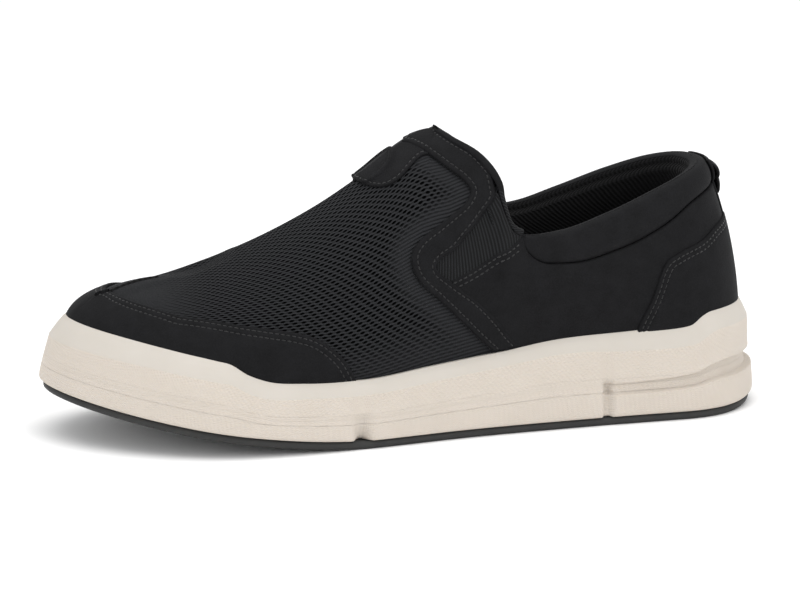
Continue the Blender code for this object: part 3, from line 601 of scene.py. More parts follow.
# The place on the lateral side of the upper that has this station and height.
def locate(station, height):
    wanted = np.stack([station * soleLength, height * instepHeight], axis=-1)
    ring, up = np.meshgrid(np.linspace(0.3, 0.95, 131), np.linspace(0, 0.98, 50), indexing="ij")
    known = skin(ring, up)[..., [0, 2]].reshape(-1, 2)
    nearest = np.linalg.norm(wanted[:, None] - known, axis=-1).argmin(axis=1)
    ring, up = ring.ravel()[nearest], up.ravel()[nearest]
    step = 0.001
    for _ in range(12):
        here = skin(ring, up)[..., [0, 2]]
        byRing = (skin(ring + step, up)[..., [0, 2]] - here) / step
        byUp = (skin(ring, up - step)[..., [0, 2]] - here) / -step
        miss = wanted - here
        area = byRing[:, 0] * byUp[:, 1] - byRing[:, 1] * byUp[:, 0]
        ring = ring + (miss[:, 0] * byUp[:, 1] - miss[:, 1] * byUp[:, 0]) / area * 0.7
        up = up + (byRing[:, 0] * miss[:, 1] - byRing[:, 1] * miss[:, 0]) / area * 0.7
        up = np.clip(up, 0, 1)
    return ring, up


# How far the padded cuff swells out of the upper between its seam and the topline.
def cuffPuffAt(ring, up):
    ring = np.abs((np.asarray(ring, float) + 1) % 2 - 1)
    seam = seamTable("up", ring)
    share = np.clip((up - seam) / (1 - seam), 0, 1)
    start, full = cuffRise
    fade = smooth((ring - start) / (full - start))
    return cuffPuff * fade * np.sqrt(np.sin(math.pi * share).clip(0, 1))


def face(ring, up, proud=0.0):  # a point proud of the upper's outer face, padding included
    return wall(ring, up, cuffPuffAt(ring, up) + proud)


# The solids were centred on their box, so the same surface is moved by the same amount here.
centring = np.array([-soleLength / 2, -0.2348 * mm, 0.0])


# Pieces. A sheet is a grid of places (ring, up) that is laid on the shoe's own surface.
def spaced(count):
    return np.linspace(0, 1, count + 1)


def lengthsAlong(points, axis):  # running length of a grid of points along one of its axes
    step = np.linalg.norm(np.diff(points, axis=axis), axis=-1)
    start = np.zeros_like(np.take(step, [0], axis=axis))
    return np.concatenate([start, np.cumsum(step, axis=axis)], axis=axis)


def gridPiece(name, points, materials, uv=None, weld=False, flip=False, pickMaterial=None,
              openness=None):
    columns, rows = points.shape[0] - 1, points.shape[1] - 1
    work = bmesh.new()
    bmesh.ops.create_grid(work, x_segments=columns, y_segments=rows, size=0.5)
    layer = work.loops.layers.uv.new("cloth")
    place = {}
    if openness is not None:
        holes = work.verts.layers.float.new("openness")
    for vert in work.verts:
        at = (round((vert.co.x + 0.5) * columns), round((vert.co.y + 0.5) * rows))
        place[vert] = at
        vert.co = points[at] + centring
        if openness is not None:
            vert[holes] = openness[at]
    if uv is None:
        uv = np.stack([lengthsAlong(points, 0), lengthsAlong(points, 1)], axis=-1)
    for mesh in work.faces:
        for loop in mesh.loops:
            loop[layer].uv = uv[place[loop.vert]]
        if pickMaterial is not None:
            mesh.material_index = pickMaterial(*np.mean([place[vert] for vert in mesh.verts], axis=0))
    if flip:
        bmesh.ops.reverse_faces(work, faces=work.faces)
    if weld:
        bmesh.ops.remove_doubles(work, verts=work.verts, dist=0.002 * mm)
    return finishPiece(name, work, materials)


def finishPiece(name, work, materials):
    mesh = bpy.data.meshes.new(name)
    work.to_mesh(mesh)
    work.free()
    mesh.shade_smooth()
    for made in materials:
        mesh.materials.append(made)
    piece = bpy.data.objects.new(name, mesh)
    bpy.context.scene.collection.objects.link(piece)
    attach(piece, "root")
    return piece


def thicken(piece, thick):  # turns a sheet into a closed solid, inwards from its face
    solid = piece.modifiers.new("thickness", "SOLIDIFY")
    solid.thickness = thick
    solid.offset = -1.0
    solid.use_rim = True


def rolled(distance, radius):  # rounds an edge over: 0 at the edge, 1 past the radius
    return np.sqrt(np.clip(1 - (1 - np.clip(distance / radius, 0, 1)) ** 2, 0, 1))


def pressed(distance, inset, width):  # a soft groove beside an edge
    return np.exp(-(((distance - inset) / width) ** 2))


def farFrom(points, border):  # distance of each place of a sheet to a line of places
    run = lengthsAlong(border, 0)
    count = int(run[-1] / (0.12 * mm)) + 2
    at = np.linspace(0, run[-1], count)
    line = np.stack([np.interp(at, run, border[:, axis]) for axis in range(3)], axis=-1)
    tree = KDTree(count)
    for index, spot in enumerate(line):
        tree.insert(spot, index)
    tree.balance()
    flat = points.reshape(-1, 3)
    return np.array([tree.find(spot)[2] for spot in flat]).reshape(points.shape[:2])


def sideEdge(table, share):  # places along an edge drawn on the shoe's side
    return locate(table("station", share), table("height", share))


seamWidth = 0.55 * mm  # half width of the groove that a stitch row pulls into a panel


def panelSheet(ring, up, settings, edges, lift=None, folded=None):
    # A sewn panel: its edges are rolled over, and its stitch rows lie in soft grooves.
    bare = face(ring, up)
    borders = {"start": bare[0], "end": bare[-1], "low": bare[:, 0], "high": bare[:, -1]}
    used = set(edges) | {edge for edge, inset in settings["rows"]}
    distance = {edge: farFrom(bare, borders[edge]) for edge in used}
    nearest = np.full(ring.shape, 1.0)
    for edge in edges:
        away = distance[edge]
        if folded is not None and edge == "high":
            away = away + 5 * mm * folded[:, None]
        nearest = np.minimum(nearest, away)
    proud = settings["seat"] + settings["thick"] * rolled(nearest, settings["roll"])
    for edge, inset in settings["rows"]:
        groove = pressed(distance[edge], inset, seamWidth) * rolled(nearest, 1 * mm)
        proud = proud - settings["groove"] * groove
    if lift is not None:
        proud = proud + lift
    points = face(ring, up, proud)
    return {"points": points, "distance": distance, "ring": ring, "up": up}


def rowPath(sheet, edge, inset):  # the line on a panel at a constant distance from its low or high edge
    distance, points = sheet["distance"][edge], sheet["points"]
    path = []
    for column in range(points.shape[0]):
        far, line = distance[column], points[column]
        if edge == "high":
            far, line = far[::-1], line[::-1]
        if far[-1] > inset * 1.2:
            path.append([np.interp(inset, far, line[:, axis]) for axis in range(3)])
    return np.array(path)


def evenPath(path, pitch):
    run = lengthsAlong(path, 0)
    count = max(int(run[-1] / pitch), 1)
    at = (np.arange(count) + 0.5) * run[-1] / count
    middle = np.stack([np.interp(at, run, path[:, axis]) for axis in range(3)], axis=-1)
    ahead = np.stack([np.interp(at + pitch / 4, run, path[:, axis]) for axis in range(3)], axis=-1)
    behind = np.stack([np.interp(at - pitch / 4, run, path[:, axis]) for axis in range(3)], axis=-1)
    return middle, unit(ahead - behind)


stitchSettings = {
    "pitch": 2.3 * mm,
    "length": 1.75 * mm,
    "width": 0.62 * mm,
    "height": 0.50 * mm,
    "sink": 0.02 * mm,
}


def stitchRows(name, paths):  # one small bead of thread for each stitch, in a single piece
    s = stitchSettings
    size = Matrix.Diagonal((s["length"] / 2, s["width"] / 2, s["height"] / 2, 1))
    work = bmesh.new()
    for path, outwardAt in paths:
        if len(path) < 3:
            continue
        middle, along = evenPath(path, s["pitch"])
        outer = outwardAt(middle)
        for spot, direction, out in zip(middle, along, outer):
            out = unit(out - direction * np.dot(out, direction))
            cross = np.cross(out, direction)
            turn = Matrix((direction, cross, out)).transposed().to_4x4()
            place = Matrix.Translation(spot + centring - out * s["sink"]) @ turn @ size
            bmesh.ops.create_uvsphere(work, u_segments=6, v_segments=4, radius=1.0, matrix=place)
    return finishPiece(name, work, [thread])


def nearestNormal(sheet):  # surface direction of a panel at points on it
    normals = skinNormal(sheet["ring"], sheet["up"]).reshape(-1, 3)
    points = sheet["points"].reshape(-1, 3)

    def at(spots):
        found = [np.argmin(np.sum((points - spot) ** 2, axis=1)) for spot in spots]
        return normals[found]

    return at


# Materials.
def hexColour(code):  # sRGB hex to linear
    parts = [int(code[i:i + 2], 16) / 255 for i in (0, 2, 4)]
    return (*[c / 12.92 if c <= 0.04045 else ((c + 0.055) / 1.055) ** 2.4 for c in parts], 1.0)


def addNode(tree, kind, settings=None, links=None):
    node = tree.nodes.new(kind)
    for key, value in (settings or {}).items():
        if key in node.inputs:
            node.inputs[key].default_value = value
        else:
            setattr(node, key, value)
    for key, source in (links or {}).items():
        tree.links.new(source, node.inputs[key])
    return node


def newMaterial(name, settings):
    made = bpy.data.materials.new(name)
    made.use_nodes = True
    tree = made.node_tree
    shader = tree.nodes["Principled BSDF"]
    for key, value in settings.items():
        shader.inputs[key].default_value = value
    return made, tree, shader


def maths(tree, operation, first, second=None, third=None):
    node = addNode(tree, "ShaderNodeMath", {"operation": operation})
    for index, value in enumerate((first, second, third)):
        if value is None:
            continue
        if isinstance(value, (int, float)):
            node.inputs[index].default_value = value
        else:
            tree.links.new(value, node.inputs[index])
    return node.outputs[0]


def mixColour(tree, share, low, high):
    mix = addNode(tree, "ShaderNodeMix", {"data_type": "RGBA"})
    tree.links.new(share, mix.inputs[0])
    mix.inputs[6].default_value = hexColour(low)
    mix.inputs[7].default_value = hexColour(high)
    return mix.outputs[2]


def noiseAt(tree, vector, grain, detail=3.0, rough=0.55):  # grain is the pattern's size in metres
    settings = {"Scale": 1 / grain, "Detail": detail, "Roughness": rough}
    return addNode(tree, "ShaderNodeTexNoise", settings, {"Vector": vector}).outputs[0]


def objectPlace(tree):
    return addNode(tree, "ShaderNodeTexCoord").outputs["Object"]


def clothPlace(tree):  # the two directions of the cloth map
    cloth = addNode(tree, "ShaderNodeUVMap", {"uv_map": "cloth"}).outputs[0]
    split = addNode(tree, "ShaderNodeSeparateXYZ", {}, {"Vector": cloth})
    return split.outputs[0], split.outputs[1]


def times(tree, first, second):
    return maths(tree, "MULTIPLY", first, second)


def plus(tree, first, second):
    return maths(tree, "ADD", first, second)


def absolute(tree, value):
    return maths(tree, "ABSOLUTE", value)


def tint(tree, shader, share, dark, light):
    tree.links.new(mixColour(tree, share, dark, light), shader.inputs["Base Color"])


def bumpOf(tree, height, distance, strength=1.0, after=None):
    settings = {"Strength": strength, "Distance": distance}
    bump = addNode(tree, "ShaderNodeBump", settings, {"Height": height})
    if after is not None:
        tree.links.new(after, bump.inputs["Normal"])
    return bump.outputs[0]


def nubuckMaterial(name, dark, light):
    # Nubuck: leather buffed to a short nap, so it is dull, finely pebbled and a little cloudy.
    made, tree, shader = newMaterial(name, {
        "Roughness": 0.8, "IOR": 1.5, "Specular IOR Level": 0.14,
        "Sheen Weight": 0.03, "Sheen Roughness": 0.4, "Sheen Tint": hexColour("a0a2a6"),
    })
    where = objectPlace(tree)
    cloud = noiseAt(tree, where, 7 * mm, 4.0)
    grain = noiseAt(tree, where, 0.55 * mm, 3.0, 0.6)  # real nap is finer, drawn coarse enough to show
    both = maths(tree, "MULTIPLY_ADD", grain, 0.7, times(tree, cloud, 0.45))
    tint(tree, shader, maths(tree, "MULTIPLY_ADD", both, 2.2, -0.75), dark, light)
    cells = {"Scale": 1 / (0.9 * mm), "feature": "SMOOTH_F1"}
    pebble = addNode(tree, "ShaderNodeTexVoronoi", cells, {"Vector": where}).outputs[0]
    soft = bumpOf(tree, pebble, 0.10 * mm, 0.55)
    tree.links.new(bumpOf(tree, grain, 0.16 * mm, 0.8, soft), shader.inputs["Normal"])
    return made


def knitMaterial():
    # Engineered polyester knit: lengthwise ribs with rows of open holes between them, staggered.
    s = knitSettings
    made, tree, shader = newMaterial("black engineered knit", {
        "Roughness": 0.75, "IOR": 1.5, "Specular IOR Level": 0.18,
        "Sheen Weight": 0.04, "Sheen Roughness": 0.5, "Sheen Tint": hexColour("9a9ca0"),
    })
    along, rib = clothPlace(tree)  # millimetres along the shoe, ribs across it
    open_ = addNode(tree, "ShaderNodeAttribute", {"attribute_name": "openness"}).outputs["Fac"]
    row = maths(tree, "ROUND", rib)
    beside = maths(tree, "SUBTRACT", rib, row)  # -0.5 to 0.5, and 0 in the groove between two ribs
    ridge = maths(tree, "SINE", times(tree, absolute(tree, beside), math.pi))
    shift = times(tree, maths(tree, "MODULO", absolute(tree, row), 2.0), 0.5)
    wobble = maths(tree, "MULTIPLY_ADD", noiseAt(tree, objectPlace(tree), 3 * mm, 2.0), 0.5, -0.25)
    turn = plus(tree, maths(tree, "DIVIDE", plus(tree, along, wobble), s["holePitch"]), shift)
    near = maths(tree, "SUBTRACT", maths(tree, "FRACT", turn), 0.5)
    longWay = maths(tree, "POWER", absolute(tree, maths(tree, "DIVIDE", near, s["holeLength"])), 2.0)
    wideWay = maths(tree, "POWER", absolute(tree, maths(tree, "DIVIDE", beside, s["holeWidth"])), 2.0)
    edge = {"From Min": 1.35, "From Max": 0.6, "interpolation_type": "SMOOTHSTEP"}
    hole = addNode(tree, "ShaderNodeMapRange", edge, {"Value": plus(tree, longWay, wideWay)}).outputs[0]
    hole = times(tree, hole, open_)
    solid = maths(tree, "SUBTRACT", 1.0, hole)
    bend = times(tree, absolute(tree, beside), 7.0)
    stitch = maths(tree, "SINE", maths(tree, "MULTIPLY_ADD", along, 2 * math.pi / s["stitchPitch"], bend))
    loops = times(tree, maths(tree, "MULTIPLY_ADD", stitch, 0.5, 0.5), ridge)
    height = plus(tree, times(tree, ridge, 0.75), times(tree, loops, 0.22))
    height = maths(tree, "SUBTRACT", height, times(tree, hole, 1.5))
    fuzz = noiseAt(tree, objectPlace(tree), 0.35 * mm, 3.0)
    # Colour: a random fuzz, with a painted highlight on the crests of the ribs and painted shade in the
    # grooves between them.
    fuzzAndPaintedRibLight = maths(tree, "MULTIPLY_ADD", fuzz, 0.8, 0.3)
    fuzzAndPaintedRibLight = times(tree, fuzzAndPaintedRibLight, maths(tree, "MULTIPLY_ADD", ridge, 0.75, 0.25))
    # The holes are painted near black: partly the black lining they show, partly painted shade inside them.
    tint(tree, shader, times(tree, fuzzAndPaintedRibLight, solid), "010101", "2b2c2f")
    tree.links.new(times(tree, solid, 0.18), shader.inputs["Specular IOR Level"])
    base = bumpOf(tree, height, 0.55 * mm, 0.9)
    tree.links.new(bumpOf(tree, fuzz, 0.10 * mm, 0.6, base), shader.inputs["Normal"])
    return made


def ribbedMaterial(name, low, high, pitch, depth, roughness):
    # Ribbed textile: rows of cord woven side by side, so the light runs along them.
    made, tree, shader = newMaterial(name, {
        "Roughness": roughness, "IOR": 1.5, "Specular IOR Level": 0.15,
        "Sheen Weight": 0.03, "Sheen Roughness": 0.5,
    })
    along, up = clothPlace(tree)
    wave = maths(tree, "SINE", times(tree, along, 2 * math.pi / pitch))
    weft = maths(tree, "SINE", times(tree, up, 2 * math.pi / (0.9 * mm)))
    height = plus(tree, maths(tree, "MULTIPLY_ADD", wave, 0.5, 0.5), times(tree, weft, 0.12))
    fuzz = noiseAt(tree, objectPlace(tree), 0.4 * mm)
    # The colour follows the cords' height: painted highlight on their crests and painted shade between them,
    # over a random fuzz.
    tint(tree, shader, times(tree, height, plus(tree, fuzz, 0.4)), low, high)
    tree.links.new(bumpOf(tree, height, depth, 0.9), shader.inputs["Normal"])
    return made


def foamMaterial(name, textured):
    # Compression-moulded EVA foam: matt, slightly soft to light, with the mould's fine diamond texture.
    made, tree, shader = newMaterial(name, {
        "Roughness": 0.62, "IOR": 1.45, "Specular IOR Level": 0.35, "Subsurface Weight": 0.12,
        "Subsurface Radius": (1.0, 0.8, 0.55), "Subsurface Scale": 1.5 * mm,
    })
    where = objectPlace(tree)
    cloud = noiseAt(tree, where, 18 * mm, 3.0)
    # The smooth bevel, which faces up into the light, gets a slightly darker, greyer colour than the textured
    # side: painted shade against its extra light. The cloud is random tone.
    low, high = ("c0b7ac", "c8bfb5") if textured else ("bab4ab", "c2bcb4")
    tint(tree, shader, cloud, low, high)
    normal = bumpOf(tree, noiseAt(tree, where, 0.5 * mm), 0.03 * mm, 0.5)
    if textured:
        along, up = clothPlace(tree)
        rate = 2 * math.pi / (1.25 * mm)
        across = [times(tree, up, side * rate * 0.78) for side in (1, -1)]
        waves = [maths(tree, "SINE", maths(tree, "MULTIPLY_ADD", along, rate * 0.62, part)) for part in across]
        normal = bumpOf(tree, plus(tree, *waves), 0.055 * mm, 0.8, normal)
    tree.links.new(normal, shader.inputs["Normal"])
    return made


def rubberMaterial():
    # Moulded rubber: dark, dull, with a dusty bloom where it rubs.
    made, tree, shader = newMaterial("black moulded rubber", {"Roughness": 0.62, "IOR": 1.52})
    where = objectPlace(tree)
    tint(tree, shader, noiseAt(tree, where, 6 * mm), "121212", "242423")
    grain = bumpOf(tree, noiseAt(tree, where, 0.6 * mm), 0.05 * mm, 0.7)
    tree.links.new(grain, shader.inputs["Normal"])
    return made


knitSettings = {
    "ribs": 74,           # from the rim to the ridge at the instep, 1.3 mm apart
    "holePitch": 3.7,     # millimetres between holes along a groove
    "holeLength": 0.29,   # half the length of a hole, as a share of the pitch
    "holeWidth": 0.38,    # half its width, as a share of the rib's
    "stitchPitch": 0.95,  # millimetres
}
nubuck = nubuckMaterial("black nubuck", "080809", "18181a")
nubuckCuff = nubuckMaterial("black nubuck, soft", "09090a", "1a1a1c")
knit = knitMaterial()
elasticBand = ribbedMaterial("black ribbed elastic", "030303", "202123", 1.45 * mm, 0.30 * mm, 0.7)
liningRib = ribbedMaterial("black ribbed lining", "020202", "131314", 1.9 * mm, 0.30 * mm, 0.85)
webbing = ribbedMaterial("black webbing", "050505", "1d1d1f", 1.1 * mm, 0.2 * mm, 0.7)
footbed = ribbedMaterial("black footbed cloth", "0a0a0a", "1e1f20", 1.0 * mm, 0.08 * mm, 0.9)
foamSide = foamMaterial("cream EVA foam, textured", True)
foamSmooth = foamMaterial("cream EVA foam, smooth", False)
rubber = rubberMaterial()
thread = newMaterial("black polyester thread", {
    "Base Color": hexColour("0c0c0d"), "Specular IOR Level": 0.3, "Roughness": 0.5, "IOR": 1.55,
    "Sheen Weight": 0.2,
})[0]
print("scene: materials made")


# Midsole: one grid from the middle of its underside, up the side, over the rim and down the cup.
midsoleSettings = {
    "columns": 580,
    "sideRows": 64,
    "bevelEnds": 8.0 * mm,     # height of the smooth bevel at the toe and heel
    "bevelMiddle": 5.2 * mm,
    "edgeRound": 0.7 * mm,
    "recessFront": 1.5 * mm,   # depth of the recess over the heel block, at its front end
    "recessBack": 2.9 * mm,
    "recessStart": (0.256, 0.250),  # stations between which it fades in
    "recessLow": (0.335, 0.04),     # its lower edge up the side, and how much that rises to the heel
    "recessHigh": (0.50, 0.09),     # the same for its upper edge
    "grooveStation": 0.251,
    "grooveWidth": 4.2 * mm,
    "grooveDepth": 2.2 * mm,
    "flexWidth": 8.5 * mm,
    "flexDepth": 5.0 * mm,
}


def ringAll(columns):
    return np.linspace(-1, 1, columns + 1)


def step(value, start, end):
    return smooth((value - start) / (end - start))


def centreLine(line, station):  # the same columns on the middle of the sole
    middle = line.copy()
    middle[..., 0] = (line[..., 0] + line[::-1, ..., 0]) / 2
    middle[..., 1] = outlineTable("centre", station) * ballWidth
    return middle


def makeMidsole():
    s = midsoleSettings
    ring = ringAll(s["columns"])
    station = stationOf(ring)
    foot = ground(station) + outsoleThick + fitGap
    rim = rimHeight(ring)
    reach = rimUp(ring)
    ends = np.maximum(step(station, 0.66, 0.84), step(station, 0.34, 0.16))
    bevel = s["bevelMiddle"] + (s["bevelEnds"] - s["bevelMiddle"]) * ends
    innerTop = wall(ring, reach, fitGap)
    innerTop[..., 2] = rim
    outerTop = innerTop + outward(ring) * rimThick
    topInset = np.sum((soleEdge(ring) - outerTop) * outward(ring) * [1, 1, 0], axis=-1)
    heel = step(station, *s["recessStart"])
    deep = s["recessFront"] + (s["recessBack"] - s["recessFront"]) * step(station, 0.24, 0.03)
    groove = np.abs(station - s["grooveStation"]) * soleLength / (s["grooveWidth"] / 2)
    sideShares = np.concatenate([
        [0, 0.012, 0.03, 0.05, 0.08], np.linspace(0.11, 0.29, 10),
        np.linspace(0.30, 0.62, s["sideRows"]), np.linspace(0.64, 1, 14),
    ])
    blockTop = s["recessLow"][0] + s["recessLow"][1] * step(station, 0.24, 0.05)
    bandTop = s["recessHigh"][0] + s["recessHigh"][1] * step(station, 0.25, 0.05)
    cut = smooth(3 * (1 - groove))
    away = np.abs(np.abs(ring) - ringOf(flexStation)) * ringLength / (s["flexWidth"] / 2)
    lines = []
    for share in (0.0, 0.5):  # the underside, closed on its centre line
        edge = insetEdge(ring, np.full(ring.shape, bottomRound))
        middle = centreLine(edge, station)
        line = middle + (edge - middle) * share
        line[..., 2] = foot
        lines.append(line)
    for share in sideShares:
        inset = 0.4 * max(0, (share - 0.1) / 0.9) ** 1.15 * topInset
        inset = inset + bottomRound * (1 - np.sqrt(1 - (1 - min(share / 0.06, 1)) ** 2))
        into = step(share, blockTop - 0.004, blockTop + 0.016)
        into = into * (1 - step(share, bandTop - 0.015, bandTop + 0.012) * 0.75)
        into = into * (1 - step(share, bandTop + 0.03, 0.98))
        inset = inset + deep * np.clip(into, 0, 1) * heel
        inset = inset + s["grooveDepth"] * cut * (1 - step(share, 0.46, 0.60))
        flex = np.clip(1.25 * (1 - away), 0, 1) * np.clip(1 - share / flexShare, 0, 1)
        inset = inset + s["flexDepth"] * flex
        line = insetEdge(ring, inset)
        line[..., 2] = foot + share * (rim - bevel - foot)
        lines.append(line)
    lower = lines[-1].copy()
    for share in (0.12, 0.5, 0.88):
        line = lower + (outerTop - lower) * share
        lines.append(line + outward(ring) * 0.25 * mm * math.sin(math.pi * share))
    r = s["edgeRound"]
    for turn in np.linspace(0, math.pi / 2, 5)[1:]:
        rounded = upward * r * (math.sin(turn) - 1) - outward(ring) * r * (1 - math.cos(turn))
        lines.append(outerTop + rounded)
    lines.append(innerTop)
    for share in (0.8, 0.5, 0.2):
        lines.append(wall(ring, reach * share, fitGap))
    floor = insetEdge(ring, footInset(ring) - fitGap)
    floor[..., 2] = floorHeight(station)
    lines += [floor, centreLine(floor, station)]
    points = np.stack(lines, axis=1)
    sideLast = 2 + len(sideShares)
    piece = gridPiece("midsole_foam", points, [foamSide, foamSmooth], weld=True,
                      pickMaterial=lambda i, j: 0 if 2 < j < sideLast - 0.9 else 1)
    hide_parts("midsole")


makeMidsole()
print("scene: midsole made")


# Outsole: a flat-bottomed sole with cross grooves between its lugs, zigzag across the forefoot.
outsoleSettings = {
    "columns": 420,
    "across": 46,
    "round": 1.0 * mm,
    "lugDepth": 1.4 * mm,
    "lugPitch": 15.5 * mm,
    "lugGap": 3.0 * mm,
    "zigzag": 2.4 * mm,
    "zigzagPitch": 14 * mm,
}


def makeOutsole():
    s = outsoleSettings
    ring = ringAll(s["columns"])
    station = stationOf(ring)
    low = ground(station)
    lines = []
    wide = insetEdge(ring, np.full(ring.shape, outsoleInset))
    top = centreLine(wide, station)
    for line, height in ((top, outsoleThick), (wide, outsoleThick), (wide, s["round"])):
        line = line.copy()
        line[..., 2] = low + height
        lines.append(line)
    for turn in np.linspace(0, math.pi / 2, 4)[1:]:
        inset = outsoleInset + s["round"] * (1 - math.cos(turn))
        line = insetEdge(ring, np.full(ring.shape, inset))
        line[..., 2] = low + s["round"] * (1 - math.sin(turn))
        lines.append(line)
    under = lines[-1]
    middle = centreLine(under, station)
    fore = step(station, 0.54, 0.56) * step(station, 0.93, 0.91)
    heel = step(station, 0.27, 0.25) * step(station, 0.05, 0.07)
    for share in np.linspace(0, 1, s["across"])[1:]:
        line = under + (middle - under) * share
        wave = s["zigzag"] * np.abs(((line[..., 1] / s["zigzagPitch"]) % 1) - 0.5) * 2
        place = ((line[..., 0] + wave) / s["lugPitch"]) % 1
        cut = np.abs(place - 0.5) * s["lugPitch"] / (s["lugGap"] / 2)
        depth = s["lugDepth"] * (1 - smooth((cut - 0.7) / 0.6)) * (fore + heel) * step(share, 0.04, 0.10)
        line[..., 2] = low + depth
        lines.append(line)
    points = np.stack(lines, axis=1)
    piece = gridPiece("outsole_rubber", points, [rubber], weld=True, flip=True)
    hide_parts("outsole")


makeOutsole()
print("scene: outsole made")


# Insole, a padded footbed that lies in the cup.
insoleSettings = {"columns": 260, "crown": 0.6 * mm, "fill": 0.5}


def makeInsole():
    ring = ringAll(insoleSettings["columns"])
    side = footInset(ring) + wallThick + 2 * fitGap
    low = floorHeight(stationOf(ring)) + fitGap
    lines = []
    bend = 0.3 * insoleRound
    dip = insoleThick - insoleSettings["crown"]
    profile = (
        (0, 0, 0), (0, 0, 1), (0, insoleThick - insoleRound, 1), (bend, insoleThick - bend, 1),
        (insoleRound, insoleThick, 1), (insoleRound, dip, 0.6), (insoleRound, dip, 0),
    )
    for inset, rise, share in profile:
        line = insetEdge(ring, side + inset)
        middle = centreLine(line, stationOf(ring))
        line = middle + (line - middle) * share
        line[..., 2] = low + rise
        lines.append(line)
    piece = gridPiece("footbed", np.stack(lines, axis=1), [footbed], weld=True)
    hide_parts("insole")


makeInsole()
print("scene: footbed made")


# The sections meet in a crease ahead of the pole. There a smooth surface, fitted to the places
# beside the crease, takes its place. All but the unit are shares of the unit, from the pole.
toeSettings = {
    "unit": 10 * mm, "fit": (0.6, 1.7), "fadeOut": (3.4, 2.5), "fadeSide": (1.0, 0.45), "least": 40,
}


def evenToe(points):
    s = toeSettings
    pole = ridgePoint(poleStation)
    flat = (points[..., :2] - pole[:2]) / s["unit"]
    x, y = flat[..., 0], flat[..., 1]
    far, side = np.hypot(x, y), np.abs(y)
    powers = [(i, k - i) for k in range(4) for i in range(k, -1, -1)]
    terms = np.stack([x**i * y**j for i, j in powers], axis=-1)
    near = (far < s["fadeOut"][0]) & (side > s["fit"][0]) & (side < s["fit"][1])
    if np.sum(near) < s["least"]:
        return points
    fit = np.linalg.lstsq(terms[near], points[near][:, 2], rcond=None)[0]
    points = points.copy()
    share = step(side, *s["fadeSide"]) * step(far, *s["fadeOut"])
    points[..., 2] += (terms @ fit - points[..., 2]) * share
    return points


# Upper wall: the inner cloth all round, from the foot to just under the topline.
wallSettings = {"columns": 360, "rows": 60, "under": 0.45 * mm}


def makeWall():
    ring, up = np.meshgrid(ringAll(wallSettings["columns"]), spaced(wallSettings["rows"]), indexing="ij")
    points = evenToe(wall(ring, up, -wallSettings["under"]))
    piece = gridPiece("upper_wall", points, [liningRib])
    thicken(piece, wallThick - wallSettings["under"])
    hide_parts("upper")


makeWall()

# Knit vamp: its ribs run lengthwise, at an even share of each cross-section from the ridge down.
vampSettings = {
    "columns": 300,
    "rows": 110,
    "end": 0.655,
    "seat": 0.05 * mm,
    "thick": 0.35 * mm,
    "map": (0.118, 0.292, 90),     # sections of the knit's map: from, to and number
    "mapLevels": 60,
    "mapRings": (0, 0.72, 400),
    "widening": 0.25,              # how the sections grow narrower ahead of the throat
    "closedToe": (0.262, 0.235),   # the holes open between these, in metres from the heel,
    "closedRim": (0.95, 0.70),     # as a share of the way down to the rim,
    "closedBand": (3 * mm, 11 * mm),  # and off the throat band
}


def knitMap(ring, up):  # millimetres along the shoe and ribs across it, for places on the vamp
    s = vampSettings
    sections = np.linspace(*s["map"])
    levels = np.linspace(0, 1, s["mapLevels"])
    rings = np.linspace(*s["mapRings"])
    grid = skin(rings[:, None], levels[None, :])
    front = skin(np.zeros(400), np.linspace(0, 1, 400))
    table = np.zeros((len(sections), len(levels)))
    spots = np.zeros((len(sections), len(levels), 3))
    for k, x in enumerate(sections):
        for j in range(len(levels)):
            line = grid[:, j]
            spots[k, j] = [np.interp(-x, -line[:, 0], line[:, axis]) for axis in range(3)]
        if x > grid[0, -1, 0]:  # past the pole the section ends on the middle of the toe
            middle = np.array([np.interp(-x, -front[:, 0], front[:, axis]) for axis in range(3)])
            past = grid[0, :, 0] < x
            spots[k, past] = middle
        table[k] = lengthsAlong(spots[k], 0)
    total = table[:, -1].copy()
    whole = sections > throatStation * soleLength + 2 * mm
    first = np.argmax(whole)
    total[:first] = total[first] + (sections[first] - sections[:first]) * s["widening"]
    share = 1 - table / np.maximum(total, 1 * mm)[:, None]
    x = skin(ring, up)[..., 0]

    def lookUp(values, x, up):
        i = np.clip((x - sections[0]) / (sections[1] - sections[0]), 0, len(sections) - 1.001)
        j = np.clip(np.asarray(up) * (len(levels) - 1), 0, len(levels) - 1.001)
        a, b = np.floor(i).astype(int), np.floor(j).astype(int)
        p, q = i - a, j - b
        low = values[a, b] * (1 - p) + values[a + 1, b] * p
        high = values[a, b + 1] * (1 - p) + values[a + 1, b + 1] * p
        return low * (1 - q) + high * q

    across = lookUp(share, x, up) * np.clip(ring / 0.04, 0, 1)
    slope = np.gradient(spots[..., 2], sections, axis=0)
    stretch = np.sqrt(1 + np.clip(slope, -1.2, 1.2) ** 2)
    run = np.cumsum(stretch * (sections[1] - sections[0]), axis=0)
    along = lookUp(run, x, up)
    return along / mm, across


